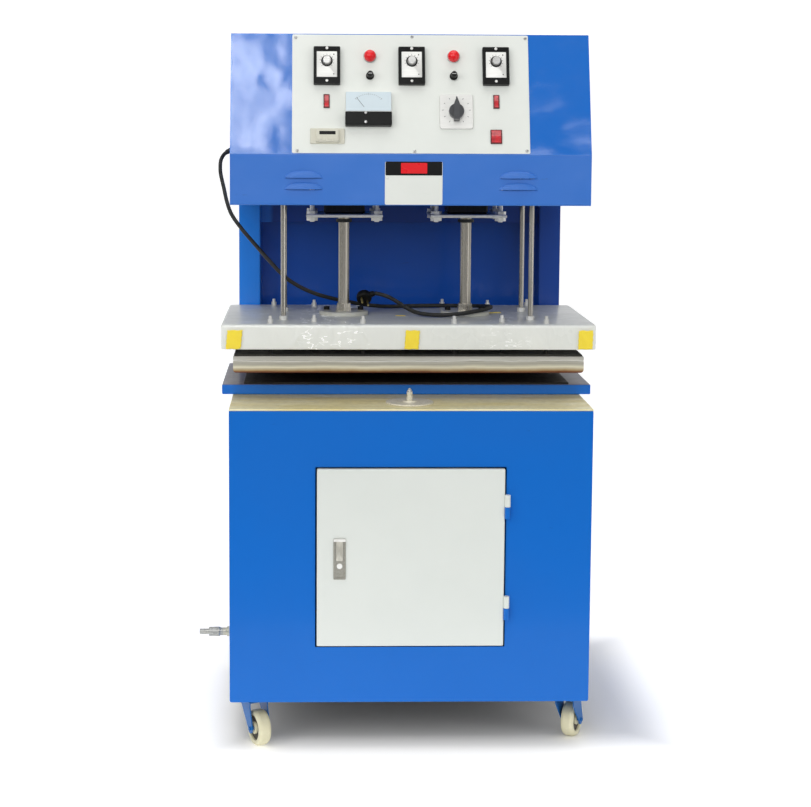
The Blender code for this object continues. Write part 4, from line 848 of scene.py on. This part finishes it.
def makeLock(v):
    # a rimmed plate with a sunk face, a lever and a push button in it, and a bright cap along its top
    low, high = [np.array(c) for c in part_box("door_lock")]
    wide, tall, deep = high[0] - low[0], high[2] - low[2], high[1] - low[1]
    base = np.array([(low[0] + high[0]) / 2, high[1], (low[2] + high[2]) / 2])
    turn = ((1, 0, 0), (0, 0, 1), (0, -1, 0))
    top = deep - 0.0004
    rim = [plateOutline(wide, tall, 0.002), plateOutline(wide, tall, 0.002),
           plateOutline(wide - 0.0008, tall - 0.0008, 0.002),
           plateOutline(wide - 2 * v["rim"], tall - 2 * v["rim"], 0.001),
           plateOutline(wide - 2 * v["rim"], tall - 2 * v["rim"], 0.001)]
    plate = stacked(rim, [0, top - 0.0004, top, top, top - v["drop"]])
    addPiece("lock_plate", moved(plate, base, *turn), "lockMetal", "door",
             replaces=["door_lock"])
    w, h, z = v["lever"]
    floor = top - v["drop"]
    lever = slab(w, h, 0.003, [(0, floor + 0.0001), (0, top - 0.0006), (0.0006, top - 0.0002)])
    radius, down = v["button"]
    button = turned([(radius, floor + 0.0001), (radius, top - 0.0006), (radius - 0.0008, top - 0.0001)], 28)
    wc, hc = v["cap"]
    cap = slab(wc, hc, 0.001, [(0, top + 0.00005), (0, deep - 0.0001), (0.0001, deep)])
    addPiece("lock_lever", moved(lever, base + np.array([0, 0, z]), *turn), "lockLever", "door")
    pale = [moved(button, base + np.array([0, 0, down]), *turn),
            moved(cap, base + np.array([0, 0, tall / 2 - hc / 2 - 0.0004]), *turn)]
    addPiece("lock_button_and_cap", joined(pale), "lockPale", "door")


makeLock(lockValues)
print("front sheet, wheels and lock ready")


# hood
hoodValues = {
    "creaseSeed": 7, "step": 0.003, "wall": 0.0015, "edge": 0.006,
    # (from X, to X, how many creases, height) on the front
    "creases": [(-0.245, -0.090, 26, 0.0016), (0.190, 0.240, 9, 0.0014), (-0.38, 0.38, 22, 0.0006)],
    # middle X, width, lean
    "tapes": [(-0.3735, 0.032, 0.004), (0.0065, 0.030, 0.003), (0.3785, 0.031, 0.001)],
    "scraps": [(0.206, 0.352, 0.030, 0.008, 15), (-0.010, 0.285, 0.022, 0.007, -10)],
    "frontStuds": [(-0.297, 0.140), (-0.098, 0.140), (0.098, 0.140), (0.297, 0.140),
                   (-0.297, 0.498), (-0.098, 0.498), (0.098, 0.498), (0.297, 0.498)],
    "midStuds": [(-0.203, 0.160), (0.203, 0.160), (-0.203, 0.478), (0.203, 0.478)],
}


def hoodShell(v):
    # the hood's plan outline in even steps, lifted row by row from the inner lower edge over the rounded
    # top edge;
    # the wall moves out by a sum of ridges, each a bell curve across a slanting line
    low, high = [np.array(c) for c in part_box("hood")]
    wide, deep, top = high[0] - low[0], high[1] - low[1], high[2]
    centre = (low + high) / 2
    corner = 0.010
    outline = plateOutline(wide, deep, corner, 7)
    loop = np.concatenate([outline, outline[:1]])
    along = np.concatenate([[0], np.cumsum(np.linalg.norm(np.diff(loop, axis=0), axis=1))])
    count = int(along[-1] / v["step"])
    s = np.arange(count) * along[-1] / count
    ring = np.stack([np.interp(s, along, loop[:, k]) for k in (0, 1)], 1)
    tangent = np.roll(ring, -1, axis=0) - np.roll(ring, 1, axis=0)
    tangent /= np.linalg.norm(tangent, axis=1, keepdims=True)
    outward = np.stack([tangent[:, 1], -tangent[:, 0]], 1)
    turn = np.linspace(0, math.pi / 2, 6)
    wall = np.linspace(low[2] + 0.0004, top - v["edge"], 16)
    inset = np.concatenate([[v["wall"], v["wall"], 0.0003], np.zeros(16), v["edge"] * (1 - np.cos(turn[1:]))])
    height = np.concatenate([[top - 0.004, low[2], low[2]], wall,
                             top - v["edge"] + v["edge"] * np.sin(turn[1:])])
    points = np.zeros((len(height), count, 3))
    points[:, :, :2] = ring[None] - outward[None] * inset[:, None, None] + centre[:2]
    points[:, :, 2] = height[:, None]
    random = np.random.default_rng(v["creaseSeed"])
    swell = np.zeros((len(height), count))
    x, z = points[:, :, 0] - zero[0], height[:, None] - low[2]
    for start, end, number, size in v["creases"]:
        at = random.uniform(start, end, number)
        slant = random.normal(0, 0.45, number)
        width = random.uniform(0.0016, 0.005, number)
        tall = size * random.uniform(0.35, 1.0, number)
        middle = random.uniform(0, 0.05, number)
        reach = random.uniform(0.012, 0.04, number)
        offset = (x[..., None] - at - slant * (z[..., None] - 0.025)) / width
        swell += (tall * np.exp(-offset ** 2) * np.exp(-((z[..., None] - middle) / reach) ** 2)).sum(-1)
    shape = np.clip((height - low[2]) / 0.004, 0, 1) * np.clip((top - height) / 0.006, 0, 1)
    shape[:3] = 0
    facing = np.clip(-outward[:, 1], 0.35, 1)
    points[:, :, :2] += outward[None] * (swell * shape[:, None] * facing[None])[..., None]
    return points.reshape(-1, 3), cappedFaces(len(height), count)


def makeHood(v):
    addPiece("hood_shell", hoodShell(v), "whiteFilm", "platen", replaces=["hood"],
             smooth=50)
    low, high = [np.array(c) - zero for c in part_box("hood")]
    # tape: a thin slanting patch on the front, standing a little off the film, its edges wavy
    u, w = np.meshgrid(np.linspace(-0.5, 0.5, 17), np.linspace(0, 1, 21))
    patches = []
    for middle, width, lean in v["tapes"]:
        grid = np.zeros((21, 17, 3))
        grid[:, :, 0] = middle + u * width * (1 + 0.03 * np.sin(w * 23 + middle * 40)) + lean * (w - 0.5)
        grid[:, :, 1] = low[1] - 0.0024 - 0.0004 * np.sin(u * 9 + w * 7 + middle * 30)
        grid[:, :, 2] = low[2] + 0.0012 + w * 0.0405 + 0.0006 * np.sin(u * 11 + middle * 60)
        patches.append((grid.reshape(-1, 3) + zero, gridFaces(21, 17, False)))
    for x, y, long, wide, angle in v["scraps"]:
        a = math.radians(angle)
        scrap = slab(long, wide, 0.001, [(0, 0.0001), (0, 0.0005), (0.0004, 0.0006)], 3)
        patches.append(moved(scrap, np.array([x, y, high[2]]) + zero,
                             (math.cos(a), math.sin(a), 0), (-math.sin(a), math.cos(a), 0)))
    tape = addPiece("hood_tape", joined(patches), "yellowTape", "platen", smooth=60)
    thick = tape.modifiers.new("thickness", "SOLIDIFY")
    thick.thickness, thick.offset = 0.0003, 1
    # studs through the top: washer, nut and a rounded stud end
    washer = turned([(0.0064, 0.0001), (0.0064, 0.0010), (0.0060, 0.0012)], 24)
    nut = moved(hexNut(0.010, 0.0080), (0, 0, 0.0011))
    stud = turned([(0.0036, 0.0080), (0.0036, 0.0150), (0.0028, 0.0160)], 20)
    one = joined([washer, nut, stud])
    top = high[2]
    hardware = [moved(one, np.array([x, y, top]) + zero) for x, y in v["frontStuds"] + v["midStuds"]]
    addPiece("hood_nuts", joined(hardware), "studSteel", "platen")


makeHood(hoodValues)
print("hood ready")


# drive hardware
driveValues = {
    "rodX": (-0.1365, 0.1365), "rodY": 0.319, "discTop": 0.9073, "screwCircle": 0.040, "headRadius": 0.0065,
    "headHigh": 0.0078, "socketFlats": 0.0065, "screwTurns": (18, 162), "collar": (0.0088, 0.0090),
    "seal": (0.0135, 0.0180, 0.0070, 1.1127),
}


def socketScrew(radius, high, flats, deep):
    # a round head whose top is a hexagonal pit: outer wall, chamfer, then down into the socket
    sides = 24
    ring = circle(sides)
    step = 2 * math.pi / 6
    angle = np.arange(sides) * 2 * math.pi / sides
    hexagon = ring * (flats / 2 / np.cos((angle % step) - step / 2))[:, None]
    outlines = [ring * radius, ring * radius, ring * (radius - 0.0007), hexagon, hexagon * 0.98]
    return stacked(outlines, [0.0001, high - 0.0007, high, high, high - deep])


def makeDriveHardware(v):
    screw = socketScrew(v["headRadius"], v["headHigh"], v["socketFlats"], 0.005)
    angles = np.radians(v["screwTurns"])
    screws = [moved(screw, np.array([x + v["screwCircle"] * math.cos(a),
                                     v["rodY"] + v["screwCircle"] * math.sin(a),
                                     v["discTop"]]) + zero) for x in v["rodX"] for a in angles]
    addPiece("disc_screws", joined(screws), "blackPlastic", "platen")
    radius, high = v["collar"]
    ring = turned([(radius, 0.0001), (radius, high - 0.001), (radius - 0.001, high), (0.0058, high)], 32)
    collars = []
    for name in corners:
        low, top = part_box(name + "_guide_rod")
        collars.append(moved(ring, ((low.x + top.x) / 2, (low.y + top.y) / 2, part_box("hood")[1].z)))
    addPiece("rod_collars", joined(collars), "paleSteel", "platen")
    # a dark seal ring hangs under each clamp plate, its bore wider than the rod
    bore, outer, tall, top = v["seal"]
    ring = spunRing([(bore, -tall), (outer - 0.001, -tall), (outer, 0.001 - tall), (outer, 0), (bore, 0)], 40)
    seals = [moved(ring, np.array([x, v["rodY"], top]) + zero) for x in v["rodX"]]
    addPiece("rod_seals", joined(seals), "darkAnodised", "frame")


makeDriveHardware(driveValues)


# head: bare plate and screws
headValues = {
    "frontY": 0.084, "bendZ": 1.261, "topY": 0.160, "topZ": 1.514,
    "plate": (0.0055, 1.2010, 0.121, 0.0905, 0.0016),
    "band": (0.0055, 1.2318, 0.121, 0.029, 0.0004),
    "block": (0.0060, 1.2325, 0.055, 0.022, 0.0005),
    "rivets": [(-0.050, 1.161), (0.061, 1.161), (-0.050, 1.212), (0.061, 1.212)],
}
slope = unit((0, headValues["topY"] - headValues["frontY"], headValues["topZ"] - headValues["bendZ"]))
slopeOut = np.array([0, -slope[2], slope[1]])


plateFace = 0.0018   # the panel plate's face over the head's slope


def onPanel(shape, x, v, height=plateFace):
    # along the panel: across is X, up is the slope, and height stands square to it
    origin = np.array([x, headValues["frontY"], headValues["bendZ"]]) + slope * v + slopeOut * height + zero
    return moved(shape, origin, (1, 0, 0), slope, slopeOut)


def onFront(shape, x, z, y):
    return moved(shape, np.array([x, y, z]) + zero, (1, 0, 0), (0, 0, 1), (0, -1, 0))


def radialMark(mark, radius, angle):
    # out from the centre by the radius at an angle from straight up, and turned to point along that line
    sine, cosine = math.sin(angle), math.cos(angle)
    return moved(mark, (radius * sine, radius * cosine, 0), (cosine, -sine, 0), (sine, cosine, 0))


def makeSign(v):
    x, z, wide, high, thick = v["plate"]
    plate = onFront(slab(wide, high, 0.003, [(0, 0.0001), (0, thick - 0.0003), (0.0003, thick)]), x, z,
                    v["frontY"])
    rivet = turned([(0.0026, 0), (0.0024, 0.0006), (0.0014, 0.0011), (0.0004, 0.0013)], 16)
    rivets = [onFront(rivet, a, b, v["frontY"] - thick) for a, b in v["rivets"]]
    addPiece("front_plate", joined([plate, *rivets]), "panelPaint", "frame")
    x, z, wide, high, proud = v["band"]
    band = onFront(slab(wide - 0.002, high, 0.002, [(0, 0.00005), (0, proud - 0.0001), (0.0001, proud)]), x,
                   z,
                   v["frontY"] - thick)
    addPiece("front_plate_band", band, "blackPlastic", "frame")
    x, z, wide, high, more = v["block"]
    block = onFront(slab(wide, high, 0.0015, [(0, 0.00005), (0, more - 0.0001), (0.0001, more)]), x, z,
                    v["frontY"] - thick - proud)
    addPiece("front_plate_block", block, "redPlastic", "frame")


makeSign(headValues)


# control panel
panelValues = {
    "plate": (0.0, 0.132, 0.500, 0.260, 0.0015),
    "timerX": (-0.177, 0.002, 0.180), "timerV": 0.1910, "timer": (0.056, 0.082, 0.012), "dialV": 0.1995,
    "lampX": (-0.086, 0.091), "lampV": 0.2135, "fuseV": 0.1705,
    "rocker": [(-0.1775, 0.1147, 0.013, 0.030), (0.1803, 0.1147, 0.013, 0.030)],
    "power": (0.1789, 0.0382, 0.0244, 0.0308),
    "selector": (0.0953, 0.0924, 0.071, 0.076, 0.005),
    "meter": (-0.0897, 0.0955, 0.097, 0.072, 0.016),
    "counter": (-0.1758, 0.0383, 0.072, 0.033, 0.012),
    "screws": [(-0.243, 0.255), (-0.239, 0.007), (0.244, 0.255), (0.243, 0.008), (0.0036, 0.2575),
               (0.0072, 0.0065)],
}


def frameRing(wide, high, border, corner, low, top, drop):
    # a bezel: the outline rises, turns in over the border and drops to the window inside
    inside = (wide - 2 * border, high - 2 * border)
    outlines = [plateOutline(wide, high, corner), plateOutline(wide, high, corner),
                plateOutline(wide - 0.001, high - 0.001, corner), plateOutline(*inside, 0.001),
                plateOutline(*inside, 0.001)]
    return stacked(outlines, [low, top - 0.0005, top, top, drop])


def makePanel(v):
    x, y, wide, high, thick = v["plate"]
    plate = onPanel(slab(wide, high, 0.003, [(0, 0), (0, thick - 0.0003), (0.0003, thick)]), x, y, 0.0003)
    addPiece("panel_plate", plate, "panelPaint", "frame", replaces=["control_panel"])
    black, white, red, steel, frames, rockers = [], [], [], [], [], []
    wide, high, thick = v["timer"]
    for x in v["timerX"]:
        # a case with a raised rim, a pale scale plate, marks round the dial and two screw noses
        black.append(onPanel(frameRing(wide, high, 0.0065, 0.002, 0, thick, thick - 0.0016), x, v["timerV"]))
        white.append(onPanel(slab(wide - 0.0132, high - 0.026, 0.001,
                                  [(0, 0), (0, 0.0017), (0.0003, 0.0019)]), x,
                             v["timerV"] + 0.0015, plateFace + thick - 0.0016))
        angle = np.radians(np.arange(-135, 136, 27))
        mark = slab(0.0007, 0.0026, 0.0001, [(0, 0), (0, 0.0001)], 2)
        for a in angle:
            black.append(onPanel(radialMark(mark, 0.0142, a), x, v["dialV"], plateFace + thick + 0.0003))
        ring = turned([(0.0122, 0), (0.0122, 0.0003), (0.0120, 0.0004)], 40)
        black.append(onPanel(ring, x, v["dialV"], plateFace + thick + 0.0003))
        nose = turned([(0.0032, 0), (0.0032, 0.0012), (0.0026, 0.0018)], 16)
        white.append(onPanel(nose, x, v["timerV"] + high / 2 - 0.004, plateFace + thick - 0.0003))
        white.append(onPanel(nose, x, v["timerV"] - high / 2 + 0.0065, plateFace + thick - 0.0016))
        dot = turned([(0.0013, 0), (0.0013, 0.0001)], 12)
        black.append(onPanel(dot, x + 0.0145, v["timerV"] + 0.023, plateFace + thick + 0.0003))
        black.append(onPanel(dot, x + 0.0145, v["timerV"] - 0.020, plateFace + thick + 0.0003))
    for x in v["lampX"]:
        bezel = turned([(0.0140, 0), (0.0140, 0.0026), (0.0136, 0.0032), (0.0130, 0.0034),
                        (0.0127, 0.0030)], 40)
        steel.append(onPanel(bezel, x, v["lampV"]))
        t = np.linspace(0.02, math.pi / 2, 10)[::-1]
        dome = [(0.0126, 0.002), (0.0126, 0.0060)] + [(0.0126 * math.sin(a), 0.0060 + 0.0124 * math.cos(a))
                                                      for a in t]
        red.append(onPanel(turned(dome, 40), x, v["lampV"]))
        cap = turned([(0.0085, 0), (0.0085, 0.0036), (0.0064, 0.0046), (0.0060, 0.0190), (0.0052, 0.0200)],
                     32)
        black.append(onPanel(cap, x, v["fuseV"]))
        slot = slab(0.0085, 0.0014, 0.0003, [(0, 0), (0, 0.0002)], 2)
        steel.append(onPanel(slot, x, v["fuseV"], plateFace + 0.0200))
    for x, y, wide, high in v["rocker"] + [v["power"]]:
        frames.append(onPanel(frameRing(wide, high, 0.0021, 0.0012, 0, 0.0026, 0.0010), x, y))
        # the rocker's face is a shallow V seen from the side: high at both ends, low in the middle
        w, h = wide - 0.0044, high - 0.0046
        u = np.array([-w / 2, w / 2])
        t = np.linspace(-h / 2, h / 2, 9)
        rise = 0.0022 + 0.0018 * (t / (h / 2)) ** 2
        grid = np.zeros((9, 2, 3))
        grid[:, :, 0], grid[:, :, 1], grid[:, :, 2] = u[None], t[:, None], rise[:, None]
        base = grid.copy()
        base[:, :, 2] = 0
        points = np.concatenate([grid.reshape(-1, 3), base.reshape(-1, 3)])
        top = gridFaces(9, 2, False)
        ends = [[0, 18, 19, 1], [16, 17, 35, 34]]
        sides = [[2 * k, 2 * k + 2, 2 * k + 20, 2 * k + 18] for k in range(8)]
        sides += [[2 * k + 1, 2 * k + 19, 2 * k + 21, 2 * k + 3] for k in range(8)]
        rockers.append(onPanel((points, top.tolist() + ends + sides), x, y))
    x, y, wide, high, thick = v["selector"]
    steelPlate = slab(wide, high, 0.006, [(0, 0), (0, thick - 0.001), (0.001, thick)])
    white.append(onPanel(steelPlate, x, y))
    mark = slab(0.0009, 0.0035, 0.0002, [(0, 0), (0, 0.0001)], 2)
    for a in np.radians(np.arange(-150, 151, 30)):
        black.append(onPanel(radialMark(mark, 0.0285, a), x, y + 0.0027, plateFace + thick))
    screw = turned([(0.0034, 0), (0.0034, 0.0008), (0.0028, 0.0014), (0.0012, 0.0017)], 16)
    cross = slab(0.0040, 0.0008, 0.0002, [(0, 0), (0, 0.00015)], 2)
    for k, (x, y) in enumerate(v["screws"]):
        steel.append(onPanel(screw, x, y))
        a = 0.4 + 1.3 * k
        black.append(onPanel(moved(cross, (0, 0, 0), (math.cos(a), math.sin(a), 0),
                                   (-math.sin(a), math.cos(a), 0)),
                             x, y, plateFace + 0.0017))
    for name, shapes, key, slot in (
            ("panel_black_parts", black, "blackPlastic", "black_plastic"),
            ("panel_pale_parts", white, "paleSteel", "aluminium"),
            ("panel_red_parts", red, "redPlastic", "red_plastic"),
            ("panel_metal_parts", steel, "zinc", "zinc"),
            ("rocker_frames", frames, "rockerFrame", "red_plastic"),
            ("rocker_faces", rockers, "rockerRed", "red_plastic")):
        addPiece(name, joined(shapes), key, "frame")


makePanel(panelValues)


def makeMeter(v):
    # a pale case, a raised clear-edged window over a pale blue scale, a needle, and a black lower cover
    # with screws
    x, y, wide, high, thick = v["meter"]
    case = onPanel(slab(wide, high, 0.003, [(0, 0.0003), (0, thick - 0.002), (0.002, thick)]), x, y)
    addPiece("meter_case", case, "palePlastic", "frame", replaces=["meter"])
    windowHigh = high * 0.575
    coverHigh = high - windowHigh - 0.0035
    cover = onPanel(slab(wide + 0.0006, coverHigh + 0.0028, 0.003,
                         [(0, 0.0006), (0, thick - 0.0010), (0.0018, thick + 0.0008)]), x,
                    y - high / 2 + coverHigh / 2 + 0.0011)
    addPiece("meter_cover", cover, "blackPlastic", "frame")
    pale = onPanel(slab(wide - 0.002, windowHigh, 0.002, [(0, 0), (0, 0.0006), (0.0006, 0.0012)]), x,
                   y + high / 2 - windowHigh / 2 - 0.001, plateFace + thick)
    addPiece("meter_window", pale, "meterScale", "frame")
    ink = []
    angles = np.radians(np.linspace(-42, 42, 15))
    for k, a in enumerate(angles):
        long = 0.0045 if k % 7 == 0 else 0.0026
        mark = slab(0.0005, long, 0.0001, [(0, 0), (0, 0.0001)], 2)
        ink.append(onPanel(radialMark(mark, 0.040, a), x, y - 0.010, plateFace + thick + 0.0012))
    needle = slab(0.0007, 0.026, 0.0002, [(0, 0), (0, 0.0002)], 2)
    ink.append(onPanel(radialMark(needle, 0.028, math.radians(-38)), x, y - 0.010,
                       plateFace + thick + 0.0013))
    addPiece("meter_marks", joined(ink), "blackPlastic", "frame")
    screws = [onPanel(turned([(0.0030, 0), (0.0030, 0.0006), (0.0024, 0.0010)], 16), x + dx, y + dy,
                      plateFace + thick + 0.0006)
              for dx, dy in ((-0.006, -0.010), (-0.006, -0.030))]
    addPiece("meter_screws", joined(screws), "zinc", "frame")


makeMeter(panelValues)


def makeCounter(v):
    # a beige case with a stepped face, a dark digit window and a row of four small keys
    x, y, wide, high, thick = v["counter"]
    flange = slab(wide, high, 0.0015, [(0, 0.0003), (0, 0.0030), (0.0012, 0.0042)])
    bodyShape = slab(wide * 0.66, high * 0.86, 0.0015, [(0, 0.0030), (0, thick - 0.001), (0.001, thick)])
    keys = [moved(slab(0.0085, 0.0060, 0.001, [(0, thick), (0.0006, thick + 0.0014)]), (dx, -0.0085, 0))
            for dx in (-0.0165, -0.0055, 0.0055, 0.0165)]
    addPiece("counter_case", onPanel(joined([flange, bodyShape, *keys]), x, y), "beigePlastic",
             "frame",
             replaces=["counter"])
    window = slab(0.034, 0.0075, 0.0008, [(0, thick), (0.0003, thick + 0.0003)])
    addPiece("counter_window", onPanel(window, x, y + 0.0045), "blackPlastic", "frame")


makeCounter(panelValues)
print("controls ready")


# floor and light
def makeStage():
    # a floor that curves up into a backdrop far behind
    wide, near, far, radius, tall = 14.0, -1.3, 6.0, 2.0, 9.0
    turn = np.linspace(0, math.pi / 2, 13)
    y = np.concatenate([[near], far - radius + radius * np.sin(turn), [far]])
    z = np.concatenate([[0], radius - radius * np.cos(turn), [tall]])
    grid = np.zeros((len(y), 2, 3))
    grid[:, :, 0], grid[:, :, 1], grid[:, :, 2] = np.array([-wide, wide])[None], y[:, None], z[:, None]
    material, tree, shader, place = newMaterial("paleFloor")
    finish["paleFloor"] = material
    patches = useGroup(tree, patchGroup, Vector=place, Scale=0.8, First_Colour=linear(250, 250, 250),
                       Second_Colour=linear(244, 244, 244), Amount=0.5, Smooth_Roughness=0.7,
                       Rough_Roughness=0.8)
    wear(tree, shader, patches)
    # the floor glows faintly outside a rectangle round the machine's plan, so that it reads white as a paper
    # sweep does; the rectangle is shifted to the machine's right and its soft edge shapes the dark under and
    # to the right of the cabinet, a painted shadow
    ground = axesOf(tree, place)
    plan = {"x": 0.11, "y": 0.07, "halfX": 0.46, "halfY": 0.36}
    beside = mathNode(tree, "ABSOLUTE", mathNode(tree, "SUBTRACT", ground["X"], plan["x"]))
    before = mathNode(tree, "ABSOLUTE", mathNode(tree, "SUBTRACT", ground["Y"], plan["y"]))
    outside = mathNode(tree, "MAXIMUM", mathNode(tree, "SUBTRACT", beside, plan["halfX"]),
                       mathNode(tree, "SUBTRACT", before, plan["halfY"]))
    glowOutsidePaintedShadow = rampBetween(tree, outside, -0.07, 0.09)
    tree.links.new(patches["Colour"], shader.inputs["Emission Color"])
    tree.links.new(mathNode(tree, "MULTIPLY", glowOutsidePaintedShadow, 0.52), shader.inputs["Emission Strength"])
    surface = (grid.reshape(-1, 3), gridFaces(len(y), 2, False))
    addPiece("floor", surface, "paleFloor", None, ride=False)


def areaLight(name, place, aim, width, height, power, colour=(1, 1, 1)):
    data = bpy.data.lights.new(name, "AREA")
    data.shape, data.size, data.size_y = "RECTANGLE", width, height
    data.energy, data.color = power, colour
    light = bpy.data.objects.new(name, data)
    bpy.context.scene.collection.objects.link(light)
    light.location = place
    light.rotation_euler = (Vector(aim) - Vector(place)).to_track_quat("-Z", "Y").to_euler()


def makeLights():
    lights = {"world": 0.26, "front": 60, "key": 40, "fill": 20, "top": 34, "window": 5.5}
    world = bpy.data.worlds.new("studio")
    world.use_nodes = True
    world.node_tree.nodes["Background"].inputs["Color"].default_value = (1, 1, 1, 1)
    world.node_tree.nodes["Background"].inputs["Strength"].default_value = lights["world"]
    bpy.context.scene.world = world
    areaLight("front", (-0.3, -4.8, 2.7), (0, 0, 0.7), 3.4, 2.2, lights["front"])
    areaLight("key", (-2.8, -3.0, 2.4), (0, 0, 0.8), 2.2, 2.2, lights["key"])
    areaLight("fill", (3.0, -2.4, 1.5), (0, 0, 0.8), 1.8, 2.4, lights["fill"])
    areaLight("top", (0, -0.4, 3.6), (0, 0, 0.8), 2.8, 2.2, lights["top"])
    areaLight("window", (-0.46, -2.75, 3.10), (-0.30, -0.22, 1.39), 0.26, 0.62, lights["window"])


makeStage()
makeLights()
bpy.context.scene.view_settings.view_transform = "Standard"
print("floor and lights ready")
